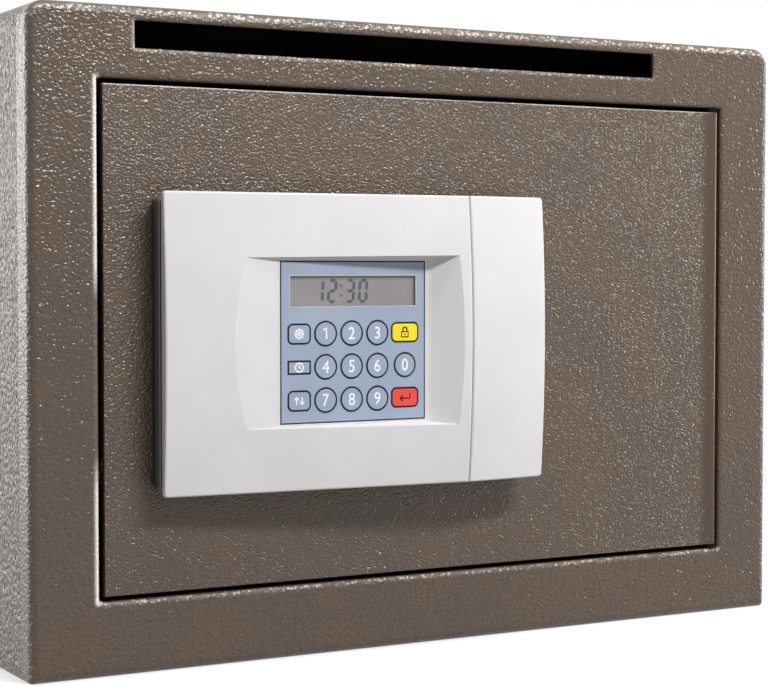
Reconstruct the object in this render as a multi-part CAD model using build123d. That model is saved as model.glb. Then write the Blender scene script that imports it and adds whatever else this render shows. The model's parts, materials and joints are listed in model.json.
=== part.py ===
from build123d import *
import math
import os

# Furniture safe with a deposit slot, an electronic lock and an emergency key lock.
# Millimetres. X runs to the right, Y into the safe and Z up. The origin is the centre of the
# face that the safe stands on. The door is shut and its bolts are drawn back.

# Cabinet: sheet steel, measured on the front view
body_width = 352.0
body_height = 255.0
body_depth = 300.0
body_sheet = 2.0
top_corner_radius = 8.0
bottom_corner_radius = 1.5
front_edge_radius = 3.5
frame_depth = 12.0
side_band = 27.5
bottom_band = 29.0
top_band = 28.0
return_depth = 20.0
opening_edge_radius = 1.4
anchor_hole_radius = 5.25
base_anchor_spacing = 200.0
back_anchor_spacing = 220.0
mat_thickness = 3.0
mat_margin = 2.0
mat_hole_radius = 9.0

# Deposit slot and the chute behind it
slot_length = 243.8
slot_height = 10.5
slot_centre_x = -11.4
slot_below_top = 5.7
slot_edge_radius = 0.4
chute_sheet = 1.5
chute_past_left = 5.2
chute_past_right = 10.5
hood_reach = 26.0
hood_slope = 40.0
hood_length = 26.0
ramp_slope = 15.0
ramp_tab_height = 8.0
chute_passage = 10.9

# Door and its hinge
door_gap = 2.0
hinge_side_gap = 0.8
door_sheet = 3.0
hinge_flange = 12.0
hinge_block_width = 8.0
hinge_block_length = 12.0
hinge_pin_radius = 1.5
hinge_pin_grip = 11.0
hinge_boss_radius = 4.7
hinge_boss_height = 6.0
washer_radius = 2.9
washer_play = 0.2
pin_play = 0.05
running_gap = 0.3

# Lock box on the back of the door
box_inset_left = 4.5
box_inset_right = 20.5
box_inset_ends = 7.0
box_depth = 42.0
box_sheet = 1.5
box_edge_radius = 2.0
post_radius = 3.0
post_inset = 5.5
screw_head_radius = 3.4
screw_head_height = 2.0
screw_radius = 1.5
screw_grip = 8.0
board_screw_head_radius = 2.4
small_screw_head_radius = 1.8
small_screw_head_height = 0.8
small_screw_radius = 0.75

# Bolts and the plate that carries them
bolt_radius = 7.0
bolt_offset = 53.0
bolt_behind_front = 28.0
bolt_tip_inset = 2.0
bolt_length = 45.5
bolt_chamfer = 1.5
bolt_travel = 14.0
bush_wall = 2.0
bush_flange = 2.5
bush_flange_length = 1.5
bush_length = 10.5
bolt_hole_play = 1.0
guide_sheet = 2.5
guide_height = 140.0
guide_depth = 35.0
guide_foot = 15.0
carrier_sheet = 3.0
carrier_to_bolt = 1.0
carrier_height = 132.0
carrier_plate_width = 36.0
carrier_arm_height = 20.0
lug_sheet = 2.5
lug_half_height = 10.0
lug_depth = 20.0
bolt_screw_radius = 3.0
bolt_screw_grip = 10.0
bolt_screw_head_radius = 5.0
bolt_screw_head_height = 4.0
stud_radius = 3.0
stud_head_radius = 5.0
stud_head_height = 1.5
stud_play = 0.2
stud_inset = 13.0
stud_rise = 44.0

# Gears: the bolt plate's rack, the motor pinion and the emergency gear
gear_module = 1.0
pressure_angle = 20.0
gear_backlash = 0.2
rack_addendum = 0.7
gear_dedendum = 1.25
emergency_teeth = 18
pinion_teeth = 12
pinion_pitch_count = 17
spare_tooth_count = 2
gear_width = 5.0
gear_before_rack = 1.0

# Motor and gearbox
gearbox_width = 24.0
gearbox_height = 34.0
gearbox_depth = 15.0
gearbox_below_pinion = 7.0
gearbox_edge_radius = 1.5
motor_radius = 7.0
motor_length = 22.0
motor_cap_radius = 4.0
motor_cap_height = 1.6
motor_lead_rise = 13.4
shaft_radius = 1.5
shaft_grip = 8.0
shaft_play = 0.05
gearbox_gap = 2.0
gearbox_post_spread = 16.0
gearbox_post_rise = 17.0

# Control board
board_thickness = 1.6
board_width = 62.0
board_height = 75.0
board_off_door = 6.0
board_right_of_middle = 2.0
board_hole_inset = 4.0
board_post_radius = 2.5
connector_depth = 5.8
connector_length = 10.0
connector_width = 7.0
relay_width = 15.0
relay_height = 18.0
relay_depth = 12.0
capacitor_radius = 4.0
capacitor_height = 9.0
buzzer_radius = 6.5
buzzer_height = 7.0
chip_width = 12.0
chip_depth = 1.6

# Batteries
cell_radius = 7.1
cell_length = 50.0
cell_count = 4
cell_pitch = 15.0
cell_nub_radius = 2.75
cell_nub_height = 1.0
battery_wall = 1.2
battery_play = 0.7
contact_room = 3.0
contact_sheet = 0.4
contact_width = 13.0
contact_height = 10.0
spring_base_radius = 4.2
spring_tip_radius = 2.2
battery_box_depth = 18.5
battery_inset_right = 13.5
battery_below_middle = 1.05
lid_sheet = 1.5
lid_overlap = 3.0
lid_grip_length = 20.0
lid_grip_height = 4.0
lid_grip_width = 3.0
opening_margin = 1.6

# Lock panel on the front of the door
panel_left_of_middle = 127.2
panel_below_middle = 1.3
panel_width = 168.2
panel_height = 116.0
cover_width = 38.2
middle_to_seam = 53.2
panel_lift = 10.0
panel_wall = 2.0
stand_off_left = 12.0
stand_off_middle = 17.3
stand_off_seam = 20.6
stand_off_right = 16.1
bulge_left = 2.0
bulge_seam = 3.2
bulge_right = 2.5
cover_crown = 0.8
panel_corner_radius = 1.5
panel_edge_radius = 0.8
seam_gap = 0.3
base_inset = 2.5
base_inset_side = 0.2
base_depth = 9.6
base_wall = 1.8
base_corner_radius = 2.0
base_cable_hole_radius = 5.0
boss_radius = 4.0
boss_inset = 11.0
boss_inset_seam = 9.8
boss_inset_ends = 13.5
rail_lip_reach = 2.0
rail_lip_thickness = 1.5
rail_length = 32.0
foot_inset = 4.0
foot_length = 28.0
foot_stem = 1.9

# Keypad
foil_thickness = 0.6
foil_width = 64.8
foil_height = 63.4
foil_to_seam = 17.7
foil_from_bottom = 26.2
foil_stand_off = 15.0
foil_rebate = 0.5
foil_cut_past = 5.0
foil_fit = 0.15
recess_margin = 1.2
recess_end_slope = 0.16
recess_right_run = 1.47
recess_left_run = 14.5
recess_round = 7.0
recess_floor = 2.5
window_margin = 1.3
display_width = 56.3
display_height = 11.9
display_from_left = 4.2
display_from_top = 5.8
lens_margin = 2.0
lens_thickness = 0.8
lcd_margin = 2.0
key_pitch_x = 11.6
key_pitch_z = 13.05
key_first_x = 19.7
key_first_z = 8.9
key_radius = 5.0
key_side_width = 10.0
key_side_height = 8.0
key_side_x = 8.1
key_small_height = 5.3
key_wide_width = 12.5
key_right_x = 55.5
key_corner_radius = 2.2
key_small_corner_radius = 0.3
key_gap = 0.15
key_proud = 0.15
key_travel = 0.4
key_flange = 0.4
key_flange_thickness = 1.0
key_flange_play = 0.15
dome_radius = 2.3
dome_play = 0.2
keypad_board_thickness = 1.6
keypad_board_margin = 2.8

# Emergency lock and power contacts under the side cover
lock_x_from_seam = 20.2
lock_rise = 57.3
lock_radius = 9.0
lock_front = 12.0
lock_behind_door = 9.0
lock_flange_radius = 12.0
lock_flange_thickness = 2.0
lock_nut_flats = 24.0
lock_nut_thickness = 4.0
lock_fit = 0.15
rotor_radius = 6.0
rotor_head_radius = 7.2
rotor_head_thickness = 1.5
rotor_play = 0.05
spindle_radius = 4.0
keyway_width = 2.4
keyway_height = 9.0
keyway_depth = 9.0
gear_hub_radius = 6.0
terminal_drop = 30.0
terminal_width = 20.0
terminal_height = 9.0
terminal_depth = 5.0
terminal_pitch = 11.0
terminal_radius = 2.6

# Cables
cable_radius = 1.4
grommet_radius = 6.0
grommet_bore = 3.0
grommet_flange = 2.0
grommet_flange_thickness = 1.5
signal_rise = 18.0
signal_left_of_lock = 18.0

# Places worked out from the sizes above
front_y = -body_depth / 2
back_y = body_depth / 2
half_width = body_width / 2
inner_half = half_width - body_sheet
roof_z = body_height - body_sheet
opening_half = half_width - side_band
opening_low = bottom_band
opening_high = body_height - top_band
door_left = -opening_half + door_gap
door_right = opening_half - hinge_side_gap
door_low = opening_low + door_gap
door_high = opening_high - door_gap
door_back = front_y + door_sheet
door_mid = (door_low + door_high) / 2
hinge_x = door_right - door_sheet
hinge_y = door_back
slot_left = slot_centre_x - slot_length / 2
slot_right = slot_centre_x + slot_length / 2
slot_high = body_height - slot_below_top
slot_low = slot_high - slot_height
chute_left = slot_left - chute_past_left
chute_right = slot_right + chute_past_right
chute_front = front_y + body_sheet

box_left = door_left + box_inset_left
box_right = door_right - box_inset_right
box_low = door_low + box_inset_ends
box_high = door_high - box_inset_ends
box_back = front_y + box_depth
box_inside = box_back - box_sheet

bolt_y = front_y + bolt_behind_front
bolt_tip = door_left + bolt_tip_inset
bolt_tail = bolt_tip + bolt_length
carrier_front = bolt_y - bolt_radius - carrier_to_bolt - carrier_sheet
carrier_back = carrier_front + carrier_sheet
guide_left = box_left + box_sheet
guide_right = guide_left + guide_sheet

panel_left = -panel_left_of_middle
panel_right = panel_left + panel_width
panel_mid = door_mid - panel_below_middle
panel_low = panel_mid - panel_height / 2
panel_high = panel_low + panel_height
seam_x = panel_right - cover_width
middle_x = seam_x - middle_to_seam
base_low = panel_low + base_inset
base_high = panel_high - base_inset
base_left = panel_left + base_inset_side
base_right = panel_right - base_inset_side
base_front = front_y - base_depth
base_floor = front_y - base_wall

foil_right = seam_x - foil_to_seam
foil_left = foil_right - foil_width
foil_low = panel_low + foil_from_bottom
foil_high = foil_low + foil_height
foil_front = front_y - foil_stand_off
foil_back = foil_front + foil_thickness
recess_y = foil_back - foil_rebate
keypad_board_front = foil_back + recess_floor
keypad_board_back = keypad_board_front + keypad_board_thickness
dome_height = recess_floor - key_flange_play - key_flange_thickness - key_travel - dome_play
display_left = foil_left + display_from_left
display_right = display_left + display_width
display_high = foil_high - display_from_top
display_low = display_high - display_height

lock_x = seam_x + lock_x_from_seam
lock_z = panel_low + lock_rise
rack_line = lock_z - gear_module * emergency_teeth / 2
pinion_x = lock_x - pinion_pitch_count * math.pi * gear_module
pinion_z = rack_line + gear_module * pinion_teeth / 2
gear_front = carrier_front - gear_before_rack
gear_back = gear_front + gear_width
gearbox_front = gear_back + gearbox_gap
gearbox_low = pinion_z - gearbox_below_pinion
gearbox_high = gearbox_low + gearbox_height
motor_y = gearbox_front + gearbox_depth / 2
motor_top = gearbox_high + motor_length + motor_cap_height
motor_lead_z = motor_top + motor_lead_rise
arm_low = rack_line - gear_dedendum * gear_module - carrier_arm_height

board_x = (lock_x + lock_radius + box_right) / 2 + board_right_of_middle
board_left = board_x - board_width / 2
board_right = board_left + board_width
board_high = motor_lead_z + connector_length / 2 + 2 * board_hole_inset
board_low = board_high - board_height
board_front = door_back + board_off_door
board_back = board_front + board_thickness
connector_y = board_back + connector_depth / 2

battery_right = box_right - battery_inset_right
battery_inner_width = cell_pitch * (cell_count - 1) + 2 * cell_radius + 2 * battery_play
battery_left = battery_right - battery_inner_width - 2 * battery_wall
battery_z = (box_low + box_sheet + board_low) / 2 - battery_below_middle
battery_height = cell_length + 2 * contact_room + 2 * battery_wall
battery_low = battery_z - battery_height / 2
battery_high = battery_low + battery_height
battery_front = box_inside - battery_box_depth
battery_x = (battery_left + battery_right) / 2
cell_y = battery_front + battery_wall + cell_radius + foil_fit
signal_x = lock_x - signal_left_of_lock
signal_z = lock_z + signal_rise


def block(x0, x1, y0, y1, z0, z1):
    """Box between two corners."""
    middle = Pos((x0 + x1) / 2, (y0 + y1) / 2, (z0 + z1) / 2)
    return middle * Box(x1 - x0, y1 - y0, z1 - z0)


def rod_x(radius, y, z, x0, x1):
    """Round bar along X."""
    return Pos((x0 + x1) / 2, y, z) * Rot(0, 90, 0) * Cylinder(radius, x1 - x0)


def rod_y(radius, x, z, y0, y1):
    """Round bar along Y."""
    return Pos(x, (y0 + y1) / 2, z) * Rot(90, 0, 0) * Cylinder(radius, y1 - y0)


def rod_z(radius, x, y, z0, z1):
    """Round bar along Z."""
    return Pos(x, y, (z0 + z1) / 2) * Cylinder(radius, z1 - z0)


def prism_x(outline, x0, x1):
    """Sketch of (y, z) points, extruded along X."""
    face = Plane((x0, 0, 0), x_dir=(0, 1, 0), z_dir=(1, 0, 0)) * outline
    return extrude(face, x1 - x0, dir=(1, 0, 0))


def prism_y(outline, y0, y1):
    """Sketch of (x, z) points, extruded along Y."""
    face = Plane((0, y1, 0), x_dir=(1, 0, 0), z_dir=(0, -1, 0)) * outline
    return extrude(face, y1 - y0, dir=(0, -1, 0))


def prism_z(outline, z0, z1):
    """Sketch of (x, y) points, extruded along Z."""
    return extrude(Plane((0, 0, z0)) * outline, z1 - z0, dir=(0, 0, 1))


def rounded(x0, x1, z0, z1, radius):
    """Rectangle with rounded corners between two points of a sketch."""
    return Pos((x0 + x1) / 2, (z0 + z1) / 2) * RectangleRounded(x1 - x0, z1 - z0, radius)


def bent_sheet(points, thickness):
    """Side view of a bent sheet: the points follow one face, and the sheet lies to their left."""
    directions = [(Vector(*b) - Vector(*a)).normalized() for a, b in zip(points, points[1:])]
    normals = [Vector(-d.Y, d.X) for d in directions]
    other_face = []
    for i, point in enumerate(points):
        before = normals[max(i - 1, 0)]
        after = normals[min(i, len(normals) - 1)]
        mitre = (before + after).normalized()
        other_face.append(Vector(*point) + mitre * (thickness / mitre.dot(after)))
    corners = list(points) + [(v.X, v.Y) for v in reversed(other_face)]
    return Polygon(*corners, align=None)


def front_face(shape):
    """The face nearest the viewer."""
    return shape.faces().sort_by(Axis.Y)[0]


def body_outline(inset):
    """Front view of the cabinet, drawn in on all sides."""
    face = Rectangle(body_width - 2 * inset, body_height - 2 * inset)
    rows = face.vertices().group_by(Axis.Y)
    face = fillet(rows[-1], top_corner_radius - inset)
    if bottom_corner_radius > inset:
        face = fillet(face.vertices().group_by(Axis.Y)[0], bottom_corner_radius - inset)
    return Pos(0, body_height / 2) * face


# Cabinet pieces

def front_frame():
    """Pressed front plate with a rim, the door opening's returns and the deposit slot."""
    rim_back = front_y + frame_depth
    plate = prism_y(body_outline(0), front_y, rim_back)
    plate = fillet(front_face(plate).edges(), front_edge_radius)
    plate -= prism_y(body_outline(body_sheet), chute_front, rim_back)
    returns = block(-opening_half - body_sheet, opening_half + body_sheet, front_y + body_sheet / 2,
                    front_y + return_depth, opening_low - body_sheet, opening_high + body_sheet)
    plate += returns
    plate -= block(-opening_half, opening_half, front_y - 1, front_y + return_depth + 1,
                   opening_low, opening_high)
    plate -= block(slot_left, slot_right, front_y - 1, chute_front + 1, slot_low, slot_high)
    door_edge = max(front_face(plate).inner_wires(), key=lambda wire: wire.length)
    plate = fillet(door_edge.edges(), opening_edge_radius)
    slot_edge = min(front_face(plate).inner_wires(), key=lambda wire: wire.length)
    plate = fillet(slot_edge.edges(), slot_edge_radius)
    for low, high in pin_spans():
        plate -= rod_z(hinge_pin_radius, hinge_x, hinge_y, low, high)
    return plate


def body_wrap():
    """Left side, roof and right side, folded from one sheet."""
    start = front_y + frame_depth
    end = back_y - body_sheet
    wrap = prism_y(body_outline(0), start, end) - prism_y(body_outline(body_sheet), start, end)
    return wrap - block(-inner_half, inner_half, start, end, -1, body_sheet)


def base_plate():
    """Bottom sheet between the sides, with two anchor holes."""
    plate = block(-inner_half, inner_half, front_y + frame_depth, back_y - body_sheet, 0, body_sheet)
    for side in (-1, 1):
        plate -= rod_z(anchor_hole_radius, side * base_anchor_spacing / 2, 0, -1, body_sheet + 1)
    return plate


def back_plate():
    """Rear sheet, with two anchor holes for the wall."""
    plate = prism_y(body_outline(0), back_y - body_sheet, back_y)
    for side in (-1, 1):
        plate -= rod_y(anchor_hole_radius, side * back_anchor_spacing / 2, body_height / 2,
                       back_y - body_sheet - 1, back_y + 1)
    return plate


def floor_mat():
    """Felt mat on the bottom sheet, cut out round the anchor holes."""
    half = inner_half - mat_margin
    mat = block(-half, half, front_y + return_depth + mat_margin, back_y - body_sheet - mat_margin,
                body_sheet, body_sheet + mat_thickness)
    for side in (-1, 1):
        mat -= rod_z(mat_hole_radius, side * base_anchor_spacing / 2, 0,
                     body_sheet - 1, body_sheet + mat_thickness + 1)
    return mat


def hood_corners():
    """Side view of the hood's lower face: front, bend and end."""
    bend = Vector(chute_front + hood_reach, roof_z - chute_sheet)
    slope = math.radians(hood_slope)
    end = bend + Vector(math.cos(slope), -math.sin(slope)) * hood_length
    return Vector(chute_front, bend.Y), bend, end


def ramp_corners():
    """Side view of the ramp's upper face: its second run is parallel to the hood."""
    bend = hood_corners()[1]
    steep = math.radians(hood_slope)
    gentle = math.radians(ramp_slope)
    steep_run = Vector(math.cos(steep), -math.sin(steep))
    gentle_run = Vector(math.cos(gentle), -math.sin(gentle))
    on_steep = bend - Vector(math.sin(steep), math.cos(steep)) * chute_passage
    start = Vector(chute_front, slot_low)
    away = on_steep - start
    reach = (away.X * steep_run.Y - away.Y * steep_run.X) / (
        gentle_run.X * steep_run.Y - gentle_run.Y * steep_run.X)
    turn = start + gentle_run * reach
    return start, turn, turn + steep_run * hood_length


def slot_hood():
    """Roof and rear baffle of the chute, with a cheek at each end."""
    front, bend, end = hood_corners()
    start, turn, ramp_end = ramp_corners()
    hood = prism_x(bent_sheet([(p.X, p.Y) for p in (front, bend, end)], chute_sheet),
                   chute_left, chute_right)
    side_view = Polygon((front.X, front.Y), (bend.X, bend.Y), (end.X, end.Y),
                        (ramp_end.X, ramp_end.Y), (turn.X, turn.Y), (start.X, start.Y), align=None)
    for x in (chute_left, chute_right - chute_sheet):
        hood += prism_x(side_view, x, x + chute_sheet)
    return hood


def slot_ramp():
    """Floor of the chute, with a tab that is welded to the back of the front plate."""
    start, turn, end = ramp_corners()
    face = [(start.X, start.Y - ramp_tab_height), (start.X, start.Y), (turn.X, turn.Y), (end.X, end.Y)]
    return prism_x(bent_sheet([(x, y) for x, y in reversed(face)], chute_sheet),
                   chute_left + chute_sheet, chute_right - chute_sheet)


def pin_spans():
    """Lower and upper end of each hinge pin."""
    lower = (opening_low - body_sheet - hinge_boss_height, door_low + hinge_pin_grip)
    upper = (door_high - hinge_pin_grip, opening_high + body_sheet + hinge_boss_height)
    return lower, upper


def hinge_pins():
    """Fixed pins below and above the door, each with a boss welded behind the frame's front."""
    lower, upper = pin_spans()
    pins = []
    for low, high, boss_low in ((*lower, lower[0]), (*upper, opening_high + body_sheet)):
        boss = rod_z(hinge_boss_radius, hinge_x, hinge_y, boss_low, boss_low + hinge_boss_height)
        boss -= block(hinge_x - hinge_boss_radius, hinge_x + hinge_boss_radius,
                      front_y - hinge_boss_radius, chute_front, low, high)
        pins.append(boss + rod_z(hinge_pin_radius, hinge_x, hinge_y, low, high))
    return Compound(pins)


def thrust_washers():
    """Washers on the pins, in the gaps above and below the door."""
    height = door_gap - washer_play
    washers = []
    for low in (opening_low, opening_high - height):
        ring = rod_z(washer_radius, hinge_x, hinge_y, low, low + height)
        washers.append(ring - rod_z(hinge_pin_radius + pin_play, hinge_x, hinge_y,
                                    low - 1, low + height + 1))
    return Compound(washers)


# Door pieces

def boss_places():
    """Where the screws from the back of the door meet the panel shell."""
    columns = (panel_left + boss_inset, seam_x - boss_inset_seam)
    rows = (panel_low + boss_inset_ends, panel_high - boss_inset_ends)
    return [(x, z) for x in columns for z in rows]


def box_post_places():
    """Where the lock box is screwed to its posts."""
    columns = (box_left + post_inset + guide_sheet + box_sheet, box_right - post_inset)
    rows = (box_low + post_inset, box_high - post_inset)
    return [(x, z) for x in columns for z in rows]


def board_post_places():
    """Where the control board is screwed to its posts."""
    columns = (board_left + board_hole_inset, board_right - board_hole_inset)
    rows = (board_low + board_hole_inset, board_high - board_hole_inset)
    return [(x, z) for x in columns for z in rows]


def gearbox_post_places():
    """Where the gearbox stands on its posts, clear of the pinion."""
    return [(pinion_x + side * gearbox_post_spread / 2, pinion_z + gearbox_post_rise)
            for side in (-1, 1)]


def stud_places():
    """Guide studs of the bolt plate: two at its tall end, one on its arm."""
    column = bolt_tail + stud_inset
    low = arm_low + carrier_arm_height / 2
    return [(column, low), (column, low + stud_rise), (lock_x - bolt_travel, low)]


def door_panel():
    """Flat front sheet whose right edge is bent back round the hinge line."""
    flange_end = hinge_y + hinge_flange
    edge = [
        Line((door_left, front_y), (hinge_x, front_y)),
        CenterArc((hinge_x, hinge_y), door_sheet, -90, 90),
        Line((door_right, hinge_y), (door_right, flange_end)),
        Line((door_right, flange_end), (hinge_x, flange_end)),
        Line((hinge_x, flange_end), (hinge_x, hinge_y)),
        Line((hinge_x, hinge_y), (door_left, door_back)),
        Line((door_left, door_back), (door_left, front_y)),
    ]
    panel = prism_z(make_face(edge), door_low, door_high)
    for low, high in pin_spans():
        panel -= rod_z(hinge_pin_radius + pin_play, hinge_x, hinge_y, low - 1, high + 1)
    for x, z in boss_places():
        panel -= rod_y(screw_radius + foil_fit, x, z, front_y - 1, door_back + 1)
    panel -= rod_y(lock_radius + lock_fit, lock_x, lock_z, front_y - 1, door_back + 1)
    panel -= rod_y(grommet_radius, signal_x, signal_z, front_y - 1, door_back + 1)
    return panel


def hinge_blocks():
    """Square blocks welded behind the bend, drilled with it for the pins."""
    blocks = []
    for low in (door_low, door_high - hinge_block_length):
        high = low + hinge_block_length
        bar = block(hinge_x - hinge_block_width, hinge_x, hinge_y, hinge_y + hinge_block_width, low, high)
        blocks.append(bar - rod_z(hinge_pin_radius + pin_play, hinge_x, hinge_y, low - 1, high + 1))
    return Compound(blocks)


def bolt_levels():
    """Heights of the two bolts."""
    return door_mid - bolt_offset, door_mid + bolt_offset


def bolt_guide():
    """Angle bracket on the door that carries the bolt bushes."""
    low = door_mid - guide_height / 2
    high = door_mid + guide_height / 2
    bracket = block(guide_left, guide_right, door_back, door_back + guide_depth, low, high)
    bracket += block(guide_left, guide_left + guide_foot, door_back, door_back + guide_sheet, low, high)
    for z in bolt_levels():
        bracket -= rod_x(bolt_radius + bush_wall, bolt_y, z, guide_left - 1, guide_right + 1)
    for x, z in boss_places():
        bracket -= rod_y(screw_head_radius + running_gap, x, z, door_back - 1,
                         door_back + guide_sheet + 1)
    return bracket


def bolt_bushes():
    """Flanged plain bearings in the bolt guide."""
    bushes = []
    for z in bolt_levels():
        bush = rod_x(bolt_radius + bush_wall, bolt_y, z, guide_left, guide_left + bush_length)
        bush += rod_x(bolt_radius + bush_wall + bush_flange, bolt_y, z,
                      guide_right, guide_right + bush_flange_length)
        bushes.append(bush - rod_x(bolt_radius + pin_play, bolt_y, z,
                                   guide_left - 1, guide_left + bush_length + 1))
    return Compound(bushes)


def guide_studs():
    """Headed studs on the door that the bolt plate slides along."""
    studs = []
    for x, z in stud_places():
        stud = rod_y(stud_head_radius, x, z, door_back, carrier_front - stud_play)
        stud += rod_y(stud_radius, x, z, door_back, carrier_back + stud_play)
        studs.append(stud + rod_y(stud_head_radius, x, z, carrier_back + stud_play,
                                  carrier_back + stud_play + stud_head_height))
    return Compound(studs)


def door_posts():
    """Round posts welded to the door for the lock box, the board and the gearbox."""
    posts = []
    for x, z in box_post_places():
        posts.append(drilled_post(post_radius, x, z, box_inside))
    for x, z in board_post_places():
        posts.append(drilled_post(board_post_radius, x, z, board_front))
    for x, z in gearbox_post_places():
        posts.append(rod_y(board_post_radius, x, z, door_back, gearbox_front))
    return Compound(posts)


def drilled_post(radius, x, z, end):
    """Post on the door with a tapped hole in its end."""
    grip = min(screw_grip, (end - door_back) / 2)
    return rod_y(radius, x, z, door_back, end) - rod_y(screw_radius, x, z, end - grip, end + 1)


def gearbox():
    """Gear housing behind the pinion, with the bore of its output shaft."""
    case = rounded(pinion_x - gearbox_width / 2, pinion_x + gearbox_width / 2,
                   gearbox_low, gearbox_high, gearbox_edge_radius)
    housing = prism_y(case, gearbox_front, gearbox_front + gearbox_depth)
    return housing - rod_y(shaft_radius + shaft_play, pinion_x, pinion_z,
                           gearbox_front - 1, gearbox_front + shaft_grip + 1)


def motor():
    """Round motor standing on the gearbox, with its end cap."""
    can_high = gearbox_high + motor_length
    can = rod_z(motor_radius, pinion_x, motor_y, gearbox_high, can_high)
    return can + rod_z(motor_cap_radius, pinion_x, motor_y, can_high, can_high + motor_cap_height)


def control_board():
    """Circuit board on its posts."""
    board = block(board_left, board_right, board_front, board_back, board_low, board_high)
    for x, z in board_post_places():
        board -= rod_y(screw_radius + foil_fit, x, z, board_front - 1, board_back + 1)
    return board


def connector_places():
    """Low corners of the board's three connectors: signal, motor and battery."""
    left = board_left
    return {
        "signal": (left, signal_z - connector_length / 2),
        "motor": (left, motor_lead_z - connector_length / 2),
        "battery": (board_x, board_low),
    }


def board_parts():
    """Connectors, relay, capacitor, buzzer and controller on the board."""
    parts = []
    for name, (x, z) in connector_places().items():
        wide = connector_length if name == "battery" else connector_width
        high = connector_width if name == "battery" else connector_length
        parts.append(block(x, x + wide, board_back, board_back + connector_depth, z, z + high))
    relay_x = board_right - board_hole_inset * 2 - relay_width
    relay_z = board_low + board_hole_inset * 2 + connector_width
    parts.append(block(relay_x, relay_x + relay_width, board_back, board_back + relay_depth,
                       relay_z, relay_z + relay_height))
    middle_z = (board_low + board_high) / 2
    parts.append(rod_y(capacitor_radius, board_x - chip_width, middle_z - chip_width * 1.5,
                       board_back, board_back + capacitor_height))
    parts.append(rod_y(buzzer_radius, relay_x + relay_width / 2, board_high - chip_width,
                       board_back, board_back + buzzer_height))
    parts.append(block(board_x - chip_width / 2, board_x + chip_width / 2, board_back,
                       board_back + chip_depth, middle_z, middle_z + chip_width))
    return Compound(parts)


def battery_box():
    """Tray for the cells, open towards the inside of the safe."""
    tray = block(battery_left, battery_right, battery_front, box_inside, battery_low, battery_high)
    return tray - block(battery_left + battery_wall, battery_right - battery_wall,
                        battery_front + battery_wall, box_inside + 1,
                        battery_low + battery_wall, battery_high - battery_wall)


def cell_places():
    """X of each cell, and which way its contact nub points."""
    first = battery_x - cell_pitch * (cell_count - 1) / 2
    return [(first + i * cell_pitch, 1 if i % 2 == 0 else -1) for i in range(cell_count)]


def batteries():
    """Round cells side by side, turned alternately."""
    cells = []
    for x, up in cell_places():
        body = cell_length - cell_nub_height
        middle = battery_z - up * cell_nub_height / 2
        cell = Pos(x, cell_y, middle) * Cylinder(cell_radius, body)
        nub = battery_z + up * (cell_length - cell_nub_height) / 2
        cells.append(cell + Pos(x, cell_y, nub) * Cylinder(cell_nub_radius, cell_nub_height))
    return Compound(cells)


def battery_contacts():
    """Contact plates at both ends of each cell, with the coil spring drawn as a cone."""
    contacts = []
    for x, up in cell_places():
        for end in (-1, 1):
            wall = battery_z + end * (cell_length / 2 + contact_room)
            plate = Pos(x, cell_y, wall - end * contact_sheet / 2) * Box(
                contact_width, contact_height, contact_sheet)
            reach = contact_room - contact_sheet
            cone = Cone(spring_base_radius, spring_tip_radius, reach)
            tilt = Rot(180, 0, 0) if end > 0 else Rot(0, 0, 0)
            middle = wall - end * (contact_sheet + reach / 2)
            contacts.append(plate + Pos(x, cell_y, middle) * tilt * cone)
    return Compound(contacts)


def battery_opening(grow):
    """Outline of the battery opening in the lock box, as x and z limits."""
    return (battery_left + opening_margin - grow, battery_right - opening_margin + grow,
            battery_low + opening_margin - grow, battery_high - opening_margin + grow)


def inner_cover():
    """Lock box: a tray over the whole mechanism, open towards the door."""
    tray = block(box_left, box_right, door_back, box_back, box_low, box_high)
    rear = tray.faces().sort_by(Axis.Y)[-1]
    tray = fillet(rear.edges(), box_edge_radius)
    tray -= block(box_left + box_sheet, box_right - box_sheet, door_back - 1, box_inside,
                  box_low + box_sheet, box_high - box_sheet)
    for z in bolt_levels():
        tray -= rod_x(bolt_radius + bolt_hole_play, bolt_y, z, box_left - 1, box_left + box_sheet + 1)
    x0, x1, z0, z1 = battery_opening(0)
    tray -= block(x0, x1, box_inside - 1, box_back + 1, z0, z1)
    for x, z in box_post_places():
        tray -= rod_y(screw_radius + foil_fit, x, z, box_inside - 1, box_back + 1)
    return tray


def screw(x, z, seat, direction, grip, head_radius, head_height, radius):
    """Screw along Y: the head stands on its seat, and the shank runs the other way."""
    head = sorted((seat, seat + direction * head_height))
    shank = sorted((seat, seat - direction * grip))
    return rod_y(head_radius, x, z, *head) + rod_y(radius, x, z, *shank)


def keypad_screw_places():
    """Corners where the keypad board is screwed to the panel shell."""
    edge = keypad_board_margin - recess_margin
    return [(x, z) for x in (foil_left - edge, foil_right + edge)
            for z in (foil_low + key_radius, foil_high - key_radius)]


def door_screws():
    """Screws of the lock box, the board, the panel and the keypad board."""
    screws = []
    for x, z in box_post_places():
        screws.append(screw(x, z, box_back, 1, box_sheet + screw_grip / 2,
                            screw_head_radius, screw_head_height, screw_radius - pin_play))
    for x, z in board_post_places():
        screws.append(screw(x, z, board_back, 1, board_thickness + board_off_door / 3,
                            board_screw_head_radius, screw_head_height, screw_radius - pin_play))
    for x, z in boss_places():
        screws.append(screw(x, z, door_back, 1, door_sheet + panel_lift,
                            screw_head_radius, screw_head_height, screw_radius - pin_play))
    for x, z in keypad_screw_places():
        screws.append(screw(x, z, keypad_board_back, 1, keypad_board_thickness + recess_floor / 2,
                            small_screw_head_radius, small_screw_head_height, small_screw_radius))
    return Compound(screws)


# Lock panel on the front of the door

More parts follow.
